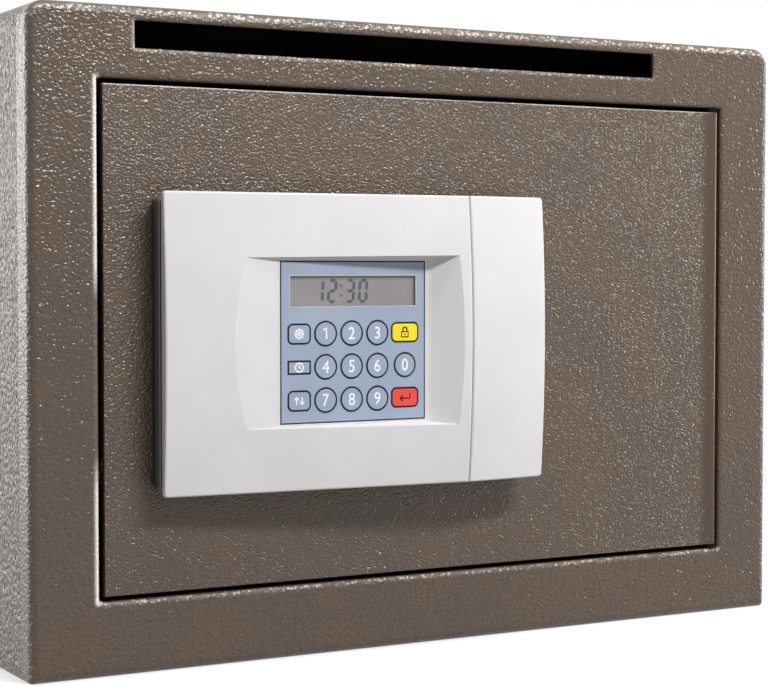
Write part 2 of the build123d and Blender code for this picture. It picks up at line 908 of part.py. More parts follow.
def arc_front(stand_off, bulge, past):
    """Front of the panel at one station: edge, crown and edge, with the arc run past both ends."""
    half = panel_height / 2
    radius = (half ** 2 + bulge ** 2) / (2 * bulge)
    end_drop = radius - math.sqrt(radius ** 2 - (half + past) ** 2)
    crown = front_y - stand_off - bulge
    return crown + end_drop, crown


def panel_section(x, stand_off, bulge, sink, past=6.0):
    """Cross-section of the panel at one x, from the door to its crowned front."""
    edge_y, crown_y = arc_front(stand_off, bulge, past)
    low = panel_low - past
    high = panel_high + past
    front = ThreePointArc((x, edge_y + sink, low), (x, crown_y + sink, panel_mid),
                          (x, edge_y + sink, high))
    back = Polyline((x, edge_y + sink, high), (x, door_back, high), (x, door_back, low),
                    (x, edge_y + sink, low))
    return make_face([front, back])


def shell_volume(sink):
    """Everything behind the front of the main shell, run past its left end."""
    slope = (stand_off_middle - stand_off_left) / (middle_x - panel_left)
    past = 5.0
    bulge_middle = (bulge_left + bulge_seam) / 2
    return loft([
        panel_section(panel_left - past, stand_off_left - slope * past, bulge_left, sink),
        panel_section(middle_x, stand_off_middle, bulge_middle, sink),
        panel_section(seam_x, stand_off_seam, bulge_seam, sink),
    ])


def cover_volume(sink):
    """Everything behind the front of the side cover, run past its right end."""
    past = 5.0
    slope = (stand_off_right - stand_off_seam) / (panel_right - seam_x)
    middle = (stand_off_seam + stand_off_right) / 2 + cover_crown
    return loft([
        panel_section(seam_x, stand_off_seam, bulge_seam, sink),
        panel_section((seam_x + panel_right) / 2, middle, (bulge_seam + bulge_right) / 2, sink),
        panel_section(panel_right + past, stand_off_right + slope * past, bulge_right, sink),
    ])


def recess(grow, floor):
    """Sloped pocket for the keypad, from its floor out past the panel's front."""
    rise = stand_off_seam - foil_stand_off + 2 * bulge_seam
    left = foil_left - recess_margin - grow
    right = foil_right + recess_margin + grow
    low = foil_low - recess_margin - grow
    high = foil_high + recess_margin + grow
    inner = Plane((0, floor, 0), x_dir=(1, 0, 0), z_dir=(0, -1, 0)) * (
        Pos((left + right) / 2, (low + high) / 2) * Rectangle(right - left, high - low))
    wide_left = left - recess_left_run * rise
    wide_right = right + recess_right_run * rise
    spread = recess_end_slope * rise
    outer = Plane((0, floor - rise, 0), x_dir=(1, 0, 0), z_dir=(0, -1, 0)) * (
        Pos((wide_left + wide_right) / 2, (low + high) / 2)
        * Rectangle(wide_right - wide_left, high - low + 2 * spread))
    pocket = loft([inner, outer], ruled=True)
    valley = pocket.edges().filter_by(Axis.Z).sort_by(lambda e: abs(e.center().Y - floor) * 1e3
                                                      + abs(e.center().X - right))[0]
    return fillet(valley, recess_round)


def panel_shell():
    """Crowned main shell with the keypad recess and four screw bosses."""
    back = front_y - panel_lift
    outline = rounded(panel_left, seam_x + 2 * panel_corner_radius, panel_low, panel_high,
                      panel_corner_radius)
    outer = prism_y(outline, back - 4 * panel_lift, back)
    outer -= block(seam_x, seam_x + 4 * panel_corner_radius, back - 5 * panel_lift, back + 1,
                   panel_low - 1, panel_high + 1)
    outer &= shell_volume(0)
    rim = outer.edges().filter_by(lambda e: e.bounding_box().max.Y < back - panel_edge_radius)
    outer = fillet(rim, panel_edge_radius)
    hollow = block(panel_left + panel_wall, seam_x - panel_wall, back - 4 * panel_lift, back + 1,
                   panel_low + panel_wall, panel_high - panel_wall) & shell_volume(panel_wall)
    hollow -= recess(panel_wall, keypad_board_front)
    shell = outer - hollow
    shell -= recess(0, recess_y)
    cut_front = foil_back - foil_cut_past
    shell -= block(foil_left - foil_fit, foil_right + foil_fit, cut_front, foil_back,
                   foil_low - foil_fit, foil_high + foil_fit)
    shell -= block(foil_left + window_margin, foil_right - window_margin, cut_front,
                   keypad_board_front + foil_cut_past, foil_low + window_margin,
                   foil_high - window_margin)
    for x, z in boss_places():
        boss = rod_y(boss_radius, x, z, back - 4 * panel_lift, base_floor)
        shell += boss & shell_volume(panel_wall / 2)
        shell -= rod_y(screw_radius, x, z, back - foil_fit, base_floor + 1)
    for x, z in keypad_screw_places():
        shell -= rod_y(small_screw_radius, x, z, keypad_board_front - recess_floor / 2 - foil_fit,
                       keypad_board_front + 1)
    return shell


def rail_sides():
    """Inner face of each rail wall of the base, and which way the rail reaches in from it."""
    return ((base_low + base_wall, 1), (base_high - base_wall, -1))


def side_cover():
    """Right-hand cover over the emergency lock: it slides off to the right on two feet."""
    back = front_y - panel_lift
    left = seam_x + seam_gap
    outline = rounded(left - 2 * panel_corner_radius, panel_right, panel_low, panel_high,
                      panel_corner_radius)
    outer = prism_y(outline, back - 4 * panel_lift, back)
    outer -= block(left - 4 * panel_corner_radius, left, back - 5 * panel_lift, back + 1,
                   panel_low - 1, panel_high + 1)
    outer &= cover_volume(0)
    rim = outer.edges().filter_by(lambda e: e.bounding_box().max.Y < back - panel_edge_radius)
    outer = fillet(rim, panel_edge_radius)
    hollow = block(left - 1, panel_right - panel_wall, back - 4 * panel_lift, back + 1,
                   panel_low + panel_wall, panel_high - panel_wall) & cover_volume(panel_wall)
    cover = outer - hollow
    under_lip = base_front + rail_lip_thickness + running_gap
    toe_back = under_lip + rail_lip_thickness
    foot_left = left + foot_inset
    for wall_z, inward in rail_sides():
        stem_z = sorted((wall_z + inward * (rail_lip_reach + running_gap),
                         wall_z + inward * (rail_lip_reach + running_gap + foot_stem)))
        toe_z = sorted((wall_z + inward * running_gap,
                        wall_z + inward * (rail_lip_reach + running_gap)))
        stem = block(foot_left, foot_left + foot_length, back - 4 * panel_lift, toe_back, *stem_z)
        cover += stem & cover_volume(panel_wall / 2)
        cover += block(foot_left, foot_left + foot_length, under_lip, toe_back, *toe_z)
    return cover


def panel_base():
    """Dark housing behind the shell, with rails for the side cover."""
    outline = rounded(base_left, base_right, base_low, base_high, base_corner_radius)
    tray = prism_y(outline, base_front, front_y)
    tray -= block(base_left + base_wall, base_right - base_wall, base_front - 1, base_floor,
                  base_low + base_wall, base_high - base_wall)
    rail_left = base_right - base_wall - rail_length
    for wall_z, inward in rail_sides():
        lip_z = sorted((wall_z, wall_z + inward * rail_lip_reach))
        tray += block(rail_left, base_right - base_wall, base_front, base_front + rail_lip_thickness,
                      *lip_z)
        foot_z = sorted((wall_z, wall_z + inward * (rail_lip_reach + 2 * running_gap + foot_stem)))
        notch_back = base_front + 2 * rail_lip_thickness + 2 * running_gap
        tray -= block(base_right - base_wall, base_right + 1, base_front - 1, notch_back, *foot_z)
    for x, z in boss_places():
        tray -= rod_y(screw_radius + foil_fit, x, z, base_floor - 1, front_y + 1)
    tray -= rod_y(lock_radius + lock_fit, lock_x, lock_z, base_floor - 1, front_y + 1)
    tray -= rod_y(base_cable_hole_radius, signal_x, signal_z, base_floor - 1, front_y + 1)
    return tray


# Keypad

def key_outline(kind, grow):
    """Outline of one kind of key, centred."""
    if kind == "round":
        return Circle(key_radius + grow)
    sizes = {
        "side": (key_side_width, key_side_height, key_corner_radius),
        "small": (key_side_width, key_small_height, key_small_corner_radius),
        "wide": (key_wide_width, key_side_height, key_corner_radius),
    }
    width, height, corner = sizes[kind]
    return RectangleRounded(width + 2 * grow, height + 2 * grow, corner + grow)


def key_places():
    """Name, kind and centre of each key, from the lower left corner of the keypad."""
    rows = [foil_low + key_first_z + i * key_pitch_z for i in range(3)]
    columns = [foil_left + key_first_x + i * key_pitch_x for i in range(3)]
    left = foil_left + key_side_x
    right = foil_left + key_right_x
    keys = {
        "key_settings": ("side", left, rows[2]),
        "key_clock": ("small", left, rows[1]),
        "key_mode": ("side", left, rows[0]),
        "key_lock": ("wide", right, rows[2]),
        "key_0": ("round", right, rows[1]),
        "key_enter": ("wide", right, rows[0]),
    }
    for row in range(3):
        for column in range(3):
            number = 3 * row + column + 1
            keys["key_%d" % number] = ("round", columns[column], rows[2 - row])
    return keys


def key(kind, x, z):
    """One key: a cap in the keypad foil, with a flange behind the foil."""
    cap = prism_y(Pos(x, z) * key_outline(kind, 0), foil_front - key_proud,
                  foil_back + key_flange_play + key_flange_thickness)
    flange = prism_y(Pos(x, z) * key_outline(kind, key_flange), foil_back + key_flange_play,
                     foil_back + key_flange_play + key_flange_thickness)
    return cap + flange


def keypad_foil():
    """Keypad front sheet with the display window and a hole round each key."""
    foil = block(foil_left, foil_right, foil_front, foil_back, foil_low, foil_high)
    foil -= block(display_left, display_right, foil_front - 1, foil_back + 1, display_low, display_high)
    for kind, x, z in key_places().values():
        foil -= prism_y(Pos(x, z) * key_outline(kind, key_gap), foil_front - 1, foil_back + 1)
    return foil


def display_window():
    """Clear pane behind the foil's display opening."""
    return block(display_left - lens_margin, display_right + lens_margin, foil_back,
                 foil_back + lens_thickness, display_low - lens_margin, display_high + lens_margin)


def lcd_module():
    """Display module between the pane and the keypad board."""
    return block(display_left - lcd_margin, display_right + lcd_margin, foil_back + lens_thickness,
                 keypad_board_front, display_low - lcd_margin, display_high + lcd_margin)


def keypad_board():
    """Circuit board behind the keys, with its cable connector."""
    edge = keypad_board_margin
    board = block(foil_left - edge, foil_right + edge, keypad_board_front, keypad_board_back,
                  foil_low, foil_high)
    for x, z in keypad_screw_places():
        board -= rod_y(small_screw_radius + pin_play, x, z,
                       keypad_board_front - 1, keypad_board_back + 1)
    plug_right = foil_right + edge
    return board + block(plug_right - connector_length, plug_right, keypad_board_back,
                         keypad_board_back + 2 * cable_radius, signal_z - connector_width / 2,
                         signal_z + connector_width / 2)


def snap_domes():
    """Snap domes under the keys."""
    domes = []
    for kind, x, z in key_places().values():
        radius = (dome_radius ** 2 + dome_height ** 2) / (2 * dome_height)
        ball = Pos(x, keypad_board_front + radius - dome_height, z) * Sphere(radius)
        domes.append(ball & block(x - radius, x + radius, keypad_board_front - dome_height - 1,
                                  keypad_board_front, z - radius, z + radius))
    return Compound(domes)


# Emergency lock

def lock_cylinder():
    """Lock body through the panel base and the door, with its flange on the base."""
    front = front_y - lock_front
    rear = door_back + lock_behind_door
    body = rod_y(lock_radius, lock_x, lock_z, front, rear)
    body += rod_y(lock_flange_radius, lock_x, lock_z, base_floor - lock_flange_thickness, base_floor)
    body -= rod_y(rotor_radius, lock_x, lock_z, front - 1, rear + 1)
    return body - rod_y(rotor_head_radius, lock_x, lock_z, front - 1, front + rotor_head_thickness)


def lock_nut():
    """Hexagon nut that clamps the lock to the door."""
    hexagon = RegularPolygon(lock_nut_flats / 2, 6, major_radius=False)
    nut = prism_y(Pos(lock_x, lock_z) * hexagon, door_back, door_back + lock_nut_thickness)
    return nut - rod_y(lock_radius + pin_play, lock_x, lock_z, door_back - 1,
                       door_back + lock_nut_thickness + 1)


def lock_rotor():
    """Key-turned core with a keyway in front and a spindle for the gear behind."""
    front = front_y - lock_front
    rear = door_back + lock_behind_door
    core = rod_y(rotor_radius - rotor_play, lock_x, lock_z, front, rear)
    core += rod_y(rotor_head_radius - rotor_play, lock_x, lock_z, front,
                  front + rotor_head_thickness - rotor_play)
    core += rod_y(spindle_radius, lock_x, lock_z, rear, gear_back)
    return core - block(lock_x - keyway_width / 2, lock_x + keyway_width / 2, front - 1,
                        front + keyway_depth, lock_z - keyway_height / 2, lock_z + keyway_height / 2)


def power_terminals():
    """Block with two contacts for an outside battery, next to the emergency lock."""
    z = lock_z - terminal_drop
    low = z - terminal_height / 2
    terminals = block(lock_x - terminal_width / 2, lock_x + terminal_width / 2,
                      base_floor - terminal_depth, base_floor, low, low + terminal_height)
    for side in (-1, 1):
        terminals += rod_y(terminal_radius, lock_x + side * terminal_pitch / 2, z,
                           base_floor - terminal_depth - terminal_radius, base_floor)
    return terminals


# Bolt work

def flank_half_angle(teeth, radius):
    """Half the angle that an involute tooth takes up at a radius."""
    pitch_radius = gear_module * teeth / 2
    base_radius = pitch_radius * math.cos(math.radians(pressure_angle))
    thickness = math.pi * gear_module / 2 - gear_backlash
    here = math.acos(min(1.0, base_radius / radius))
    at_pitch = math.radians(pressure_angle)
    involute = (math.tan(at_pitch) - at_pitch) - (math.tan(here) - here)
    return thickness / (2 * pitch_radius) + involute


def spur_gear(teeth, x, z, flank_steps=4):
    """Side view of a spur gear with a tooth gap straight below its centre."""
    pitch_radius = gear_module * teeth / 2
    base_radius = pitch_radius * math.cos(math.radians(pressure_angle))
    root_radius = pitch_radius - gear_dedendum * gear_module
    tip_radius = pitch_radius + gear_module
    start = max(base_radius, root_radius)
    flank = [start + (tip_radius - start) * i / flank_steps for i in range(flank_steps + 1)]
    corners = []
    for tooth in range(teeth):
        middle = -math.pi / 2 + (tooth + 0.5) * 2 * math.pi / teeth
        root_half = flank_half_angle(teeth, start)
        rising = [(root_radius, -root_half)] + [(r, -flank_half_angle(teeth, r)) for r in flank]
        falling = [(r, -angle) for r, angle in reversed(rising)]
        for radius, angle in rising + falling:
            corners.append((x + radius * math.cos(middle + angle), z + radius * math.sin(middle + angle)))
    return Polygon(*corners, align=None)


def rack_outline(first, last):
    """Side view of the rack's teeth, one of them straight below the emergency lock."""
    pitch = math.pi * gear_module
    slope = math.tan(math.radians(pressure_angle))
    half = pitch / 4 - gear_backlash / 2
    root_z = rack_line - gear_dedendum * gear_module
    tip_z = rack_line + rack_addendum * gear_module
    left = lock_x + (first - 0.5) * pitch
    right = lock_x + (last + 0.5) * pitch
    corners = [(left, root_z - 1), (left, root_z)]
    root_half = half + (rack_line - root_z) * slope
    tip_half = half - (tip_z - rack_line) * slope
    for tooth in range(first, last + 1):
        x = lock_x + tooth * pitch
        corners += [(x - root_half, root_z), (x - tip_half, tip_z)]
        corners += [(x + tip_half, tip_z), (x + root_half, root_z)]
    corners += [(right, root_z), (right, root_z - 1)]
    return Polygon(*corners, align=None), left, right


def bolt_carrier():
    """Plate with a toothed arm, guide slots and two lugs that hold the bolts."""
    pitch = math.pi * gear_module
    travel_teeth = math.ceil(bolt_travel / pitch)
    first = -pinion_pitch_count - spare_tooth_count
    last = travel_teeth + spare_tooth_count
    teeth, rack_left, rack_right = rack_outline(first, last)
    arm_high = rack_line - gear_dedendum * gear_module
    plate = block(bolt_tail, bolt_tail + carrier_plate_width, carrier_front, carrier_back,
                  door_mid - carrier_height / 2, door_mid + carrier_height / 2)
    plate += block(bolt_tail, rack_right, carrier_front, carrier_back, arm_low, arm_high)
    plate += prism_y(teeth, carrier_front, carrier_back)
    slot_half = stud_radius + stud_play
    for x, z in stud_places():
        plate -= block(x, x + bolt_travel, carrier_front - 1, carrier_back + 1,
                       z - slot_half, z + slot_half)
        plate -= rod_y(slot_half, x, z, carrier_front - 1, carrier_back + 1)
        plate -= rod_y(slot_half, x + bolt_travel, z, carrier_front - 1, carrier_back + 1)
    for z in bolt_levels():
        plate += block(bolt_tail, bolt_tail + lug_sheet, carrier_front, carrier_front + lug_depth,
                       z - lug_half_height, z + lug_half_height)
        plate -= rod_x(bolt_screw_radius + foil_fit, bolt_y, z, bolt_tail - 1, bolt_tail + lug_sheet + 1)
    return plate


def lock_bolts():
    """Two round bolts with chamfered tips and a tapped hole in the tail."""
    bolts = []
    for z in bolt_levels():
        bar = rod_x(bolt_radius, bolt_y, z, bolt_tip, bolt_tail)
        tip = bar.faces().sort_by(Axis.X)[0]
        bar = chamfer(tip.edges(), bolt_chamfer)
        bolts.append(bar - rod_x(bolt_screw_radius, bolt_y, z, bolt_tail - bolt_screw_grip - bolt_chamfer,
                                 bolt_tail + 1))
    return Compound(bolts)


def bolt_screws():
    """Screws that hold the bolts to the lugs."""
    screws = []
    seat = bolt_tail + lug_sheet
    for z in bolt_levels():
        head = rod_x(bolt_screw_head_radius, bolt_y, z, seat, seat + bolt_screw_head_height)
        screws.append(head + rod_x(bolt_screw_radius - pin_play, bolt_y, z,
                                   bolt_tail - bolt_screw_grip, seat))
    return Compound(screws)


def drive_pinion():
    """Motor pinion with its output shaft."""
    wheel = prism_y(spur_gear(pinion_teeth, pinion_x, pinion_z), gear_front, gear_back)
    return wheel + rod_y(shaft_radius, pinion_x, pinion_z, gear_back, gearbox_front + shaft_grip)


def emergency_gear():
    """Gear on the lock's spindle, with a hub towards the lock body."""
    wheel = prism_y(spur_gear(emergency_teeth, lock_x, lock_z), gear_front, gear_back)
    hub_front = door_back + lock_behind_door + running_gap
    wheel += rod_y(gear_hub_radius, lock_x, lock_z, hub_front, gear_front)
    return wheel - rod_y(spindle_radius + pin_play, lock_x, lock_z, hub_front - 1, gear_back + 1)


def battery_lid():
    """Lid of the battery opening, with a plug that fits the opening and a grip ridge."""
    x0, x1, z0, z1 = battery_opening(lid_overlap)
    lid = block(x0, x1, box_back, box_back + lid_sheet, z0, z1)
    x0, x1, z0, z1 = battery_opening(-running_gap)
    lid += block(x0, x1, box_inside, box_back, z0, z1)
    grip_z = z1 - lid_overlap
    lid += block(battery_x - lid_grip_length / 2, battery_x + lid_grip_length / 2, box_back,
                 box_back + lid_sheet + lid_grip_height, grip_z - lid_grip_width, grip_z)
    return lid


# Cables

def cable_grommet():
    """Rubber ring in the door's cable hole, with a flange inside."""
    ring = rod_y(grommet_radius - pin_play, signal_x, signal_z, front_y, door_back)
    ring += rod_y(grommet_radius + grommet_flange, signal_x, signal_z, door_back,
                  door_back + grommet_flange_thickness)
    return ring - rod_y(grommet_bore, signal_x, signal_z, front_y - 1,
                        door_back + grommet_flange_thickness + 1)


def cable(points, label):
    """Round cable along straight runs joined by tangent arcs as large as the runs allow."""
    path_points = [Vector(*p) for p in points]
    radii = []
    for before, corner, after in zip(path_points, path_points[1:], path_points[2:]):
        turn = math.radians((corner - before).get_angle(after - corner))
        shorter = min((corner - before).length, (after - corner).length)
        radii.append(0.45 * shorter / math.tan(turn / 2))
    path = FilletPolyline(*path_points, radius=radii)
    tube = sweep(Plane(path @ 0, z_dir=path % 0) * Circle(cable_radius), path=path)
    expected = math.pi * cable_radius ** 2 * path.length
    print(label, "length %.1f" % path.length, "radii", [round(r, 1) for r in radii],
          "volume ratio %.4f" % (tube.volume / expected))
    return tube


def lock_cables():
    """Keypad, motor and battery cables inside the panel and the lock box."""
    board_y = keypad_board_back + cable_radius
    keypad_end = foil_right + keypad_board_margin
    signal = cable([(keypad_end, board_y, signal_z), (signal_x, board_y, signal_z),
                    (signal_x, connector_y, signal_z), (board_left, connector_y, signal_z)],
                   "keypad cable")
    halfway = (pinion_x + board_left) / 2
    motor_lead = cable([(pinion_x, motor_y, motor_top), (pinion_x, motor_y, motor_lead_z),
                        (halfway, motor_y, motor_lead_z),
                        (halfway + motor_radius, connector_y, motor_lead_z),
                        (board_left, connector_y, motor_lead_z)], "motor cable")
    battery_plug_x, plug_low = connector_places()["battery"]
    battery_plug_x += connector_length / 2
    rise = (plug_low - battery_high) / 3
    battery_lead = cable([(battery_plug_x, cell_y, battery_high),
                          (battery_plug_x, cell_y, battery_high + rise),
                          (battery_plug_x, connector_y, plug_low - rise),
                          (battery_plug_x, connector_y, plug_low)], "battery cable")
    return Compound([signal, motor_lead, battery_lead])


pieces = {
    "front_frame": front_frame, "body_wrap": body_wrap, "base_plate": base_plate,
    "back_plate": back_plate, "floor_mat": floor_mat, "slot_hood": slot_hood,
    "slot_ramp": slot_ramp, "hinge_pins": hinge_pins, "thrust_washers": thrust_washers,
    "door_panel": door_panel, "hinge_blocks": hinge_blocks, "bolt_guide": bolt_guide,
    "bolt_bushes": bolt_bushes, "guide_studs": guide_studs, "door_posts": door_posts,
    "gearbox": gearbox, "motor": motor, "control_board": control_board,
    "board_parts": board_parts, "battery_box": battery_box, "batteries": batteries,
    "battery_contacts": battery_contacts, "inner_cover": inner_cover,
    "door_screws": door_screws, "panel_base": panel_base, "panel_shell": panel_shell,
    "keypad_foil": keypad_foil, "keypad_board": keypad_board, "snap_domes": snap_domes,
    "lcd_module": lcd_module, "display_window": display_window,
    "lock_cylinder": lock_cylinder, "lock_nut": lock_nut, "power_terminals": power_terminals,
    "cable_grommet": cable_grommet, "lock_cables": lock_cables,
    "bolt_carrier": bolt_carrier, "lock_bolts": lock_bolts, "bolt_screws": bolt_screws,
    "drive_pinion": drive_pinion, "lock_rotor": lock_rotor, "emergency_gear": emergency_gear,
    "side_cover": side_cover, "battery_lid": battery_lid,
}

os.makedirs("parts", exist_ok=True)
for name, make in pieces.items():
    export_step(make(), "parts/%s.step" % name)
for name, (kind, x, z) in key_places().items():
    export_step(key(kind, x, z), "parts/%s.step" % name)
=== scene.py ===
import bmesh
import bpy
import json
import math
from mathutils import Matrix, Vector

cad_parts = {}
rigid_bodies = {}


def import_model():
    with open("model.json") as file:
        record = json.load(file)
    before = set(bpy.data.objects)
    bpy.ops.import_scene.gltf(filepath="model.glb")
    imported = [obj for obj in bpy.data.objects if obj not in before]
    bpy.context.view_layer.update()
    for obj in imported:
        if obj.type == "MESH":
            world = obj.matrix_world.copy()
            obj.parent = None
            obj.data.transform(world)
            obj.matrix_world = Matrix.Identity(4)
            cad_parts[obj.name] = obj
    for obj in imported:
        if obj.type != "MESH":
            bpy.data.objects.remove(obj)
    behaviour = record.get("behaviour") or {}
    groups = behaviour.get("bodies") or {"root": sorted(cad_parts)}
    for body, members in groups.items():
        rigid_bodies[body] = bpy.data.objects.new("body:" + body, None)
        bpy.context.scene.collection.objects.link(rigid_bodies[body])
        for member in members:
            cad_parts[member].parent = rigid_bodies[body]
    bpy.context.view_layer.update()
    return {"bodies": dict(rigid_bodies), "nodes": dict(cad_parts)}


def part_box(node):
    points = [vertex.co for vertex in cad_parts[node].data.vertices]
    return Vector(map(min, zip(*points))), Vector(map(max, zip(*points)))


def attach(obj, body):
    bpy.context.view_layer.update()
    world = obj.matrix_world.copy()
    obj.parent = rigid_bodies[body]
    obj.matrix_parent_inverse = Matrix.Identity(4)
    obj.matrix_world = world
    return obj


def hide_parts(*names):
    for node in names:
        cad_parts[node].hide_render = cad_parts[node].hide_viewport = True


# Furniture safe: finishes, printed marks, small hardware and light, in metres.

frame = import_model()
nodes = frame["nodes"]
MM = 0.001

# Camera, which stands where the photograph was taken from
camera_place = Vector((-0.416, -0.844, 0.156))
camera_yaw = -29.38
camera_pitch = -2.227
focal_pixels = 1956.4
picture_width = 768
sensor_width = 36.0

# Printed marks and small hardware
print_height = 0.03 * MM
key_flange = 0.4 * MM
key_outline_width = 0.58 * MM
figure_height = 4.9 * MM
figure_width = 0.92
mark_stroke = 0.6 * MM
figure_stroke = 0.82 * MM
function_key_corner = 2.2 * MM
low_key_corner = 0.3 * MM
low_key_height = 7 * MM
display_text_left = 10.9 * MM
display_text_height = 9.6 * MM
display_text_pitch = 5.8 * MM
display_text_width = 4.4 * MM
display_stroke = 1.3 * MM
display_slant = 0.06
display_bar_gap = 0.18 * MM
display_lift = 0.02 * MM
colon_levels = (0.3, 0.7)
colon_dot = 0.9 * MM
colon_inset = 0.6 * MM
colon_pitch = 2.2 * MM
border_line = 0.35 * MM
border_gap = 0.05 * MM
# Width of the painted gap shadow round the foil
foil_shadow_line = 0.4 * MM
print_corner = 0.05 * MM
pane_overlap = 2.0 * MM
pane_thickness = 0.3 * MM
pane_corner = 0.5 * MM
small_screw_head = 2.0 * MM
small_head_height = 0.8 * MM
large_head_height = 2.0 * MM
small_shank = 0.75 * MM
large_shank = 1.45 * MM
socket_share = 0.42
screw_steps = 24
mat_voxel = 1.4 * MM
mat_wave = 0.25 * MM
mat_waves_x = 31
mat_waves_y = 27

# Hammered paint
paint_colour = (0.114, 0.075, 0.049)
cloud_tint = (0.056, 0.048, 0.042)
# Pale fleck colour: partly the paint's flake, partly painted glints
fleck_glint_colour = (0.62, 0.56, 0.47)
# Colour of the painted highlight on the rounded edges
edge_highlight_colour = (0.92, 0.87, 0.8)
clear_coat = 0.75
smooth_coat = 0.4
smooth_strength = 0.06
# Painted shade of the door's rounded hinge-side edge
painted_bend_shade = 0.66
coat_roughness = 0.16
paint_specular = 0.1
busy_top = 0.15
busy_side = 0.44

# Painted highlight on the rounded edges: how far the surface faces aside or up where it starts and
# stops, and where it lies, with a painted shadow of the panel across its middle height; each pair
# is a range over which it fades
highlight_side_start = (0.03, 0.13)
highlight_up_start = (0.09, 0.22)
highlight_stop = (0.6, 0.75)
highlight_inner_x = (-0.12, -0.10)
highlight_slot_z = (0.230, 0.235)
highlight_patch_size = 30 * MM
panel_shadow_middle = 0.114
panel_shadow_reach = 0.037

# Light levels and the floor
world_light = 0.07
floor_grey = 0.4
floor_roughness = 0.9
floor_reach = 6.0
floor_lift = 0.6
floor_near = 0.35
floor_far = 1.1
white = (1.0, 1.0, 1.0, 1.0)


class NodeMaker:
    """Adds shader nodes to a tree and sets or links their inputs."""

    def __init__(self, tree):
        self.nodes = tree.nodes
        self.links = tree.links

    def give(self, node, inputs):
        """Sets a node's inputs, by a value or by a link."""
        for name, value in inputs.items():
            if isinstance(value, bpy.types.NodeSocket):
                self.links.new(value, node.inputs[name])
            else:
                node.inputs[name].default_value = value

    def add(self, kind, inputs, output=0, **settings):
        """A new node with its inputs set; returns one of its outputs."""
        node = self.nodes.new("ShaderNode" + kind)
        for name, value in settings.items():
            setattr(node, name, value)
        self.give(node, inputs)
        return node.outputs[output]

    def compute(self, operation, first, second=0.0):
        """Result of an operation on one or two numbers, each a value or a link."""
        return self.add("Math", {0: first, 1: second}, operation=operation)

    def span(self, value, low, high, to_low=0.0, to_high=1.0):
        """Maps a value from one range to another, held at both ends."""
        return self.add("MapRange", {"Value": value, "From Min": low, "From Max": high,
                                     "To Min": to_low, "To Max": to_high})


class Finish(NodeMaker):
    """A material being made, with metre coordinates that ride with the piece."""

    def __init__(self, name, colour, roughness, metallic=0.0):
        self.material = bpy.data.materials.new(name)
        self.material.use_nodes = True
        super().__init__(self.material.node_tree)
        self.shader = self.nodes["Principled BSDF"]
        self.place = self.add("TexCoord", {}, "Object")
        self.give(self.shader, {"Base Color": (*colour, 1.0), "Roughness": roughness,
                                "Metallic": metallic})

    def noise(self, size, detail=2.0, place=None, output=0):
        """Cloudy noise whose features are about that size."""
        return self.add("TexNoise", {"Vector": place or self.place, "Scale": 1 / size,
                                     "Detail": detail}, output)

    def stretched(self, along):
        """Coordinates stretched by a factor for each axis, for brushed or streaky surfaces."""
        return self.add("Mapping", {"Vector": self.place, "Scale": along})

    def mix(self, factor, low, high):
        """Colour between two colours, each a value or a link."""
        low, high = (value if isinstance(value, bpy.types.NodeSocket) else (*value, 1.0)
                     for value in (low, high))
        return self.add("Mix", {0: factor, 6: low, 7: high}, 2, data_type="RGBA")

    def axis(self, name):
        """One coordinate of the piece."""
        return self.add("SeparateXYZ", {"Vector": self.place}, name)

    def bump(self, height, depth, strength=1.0, below=None):
        """Normal from a height that is worth that depth."""
        inputs = {"Height": height, "Distance": depth, "Strength": strength}
        if below is not None:
            inputs["Normal"] = below
        return self.add("Bump", inputs)

    def done(self, **inputs):
        """Sets the last inputs of the shader and returns the material."""
        names = {name.replace("_", " "): value for name, value in inputs.items()}
        self.give(self.shader, names)
        return self.material


# Materials

def painted_edge_highlight(finish, rounded, away, unbroken):
    """Share of painted highlight on the rounded edges that face up or to the hinge side, with a
    painted shadow of the panel across its middle height.
    """
    lit = []
    for name, start in (("X", highlight_side_start), ("Z", highlight_up_start)):
        facing = finish.add("SeparateXYZ", {"Vector": rounded}, name)
        rising = finish.span(facing, *start)
        falling = finish.span(facing, *highlight_stop, 1.0, 0.0)
        lit.append(finish.compute("MULTIPLY", rising, falling))
    sideways, upward = lit
    height = finish.compute("ABSOLUTE", finish.compute("SUBTRACT", finish.axis("Z"), panel_shadow_middle))
    inner = finish.span(finish.axis("X"), *highlight_inner_x, 1.0, 0.0)
    slot_side = finish.span(finish.axis("Z"), *highlight_slot_z, 1.0, 0.3)
    # Painted shadow: the highlight fades out at mid height, where the panel shades the edge.
    ends = finish.span(height, panel_shadow_reach - 8 * MM, panel_shadow_reach + 6 * MM, 0.08, 1.0)
    patches = finish.span(finish.noise(highlight_patch_size, 1.0), 0.35, 0.6, 0.5, 1.0)
    broken = finish.span(away, 0.15, 0.5, 1.0, unbroken)
    for factor in (inner, ends, slot_side):
        sideways = finish.compute("MULTIPLY", sideways, factor)
    for factor in (patches, broken):
        upward = finish.compute("MULTIPLY", upward, factor)
    return finish.compute("MAXIMUM", sideways, upward)


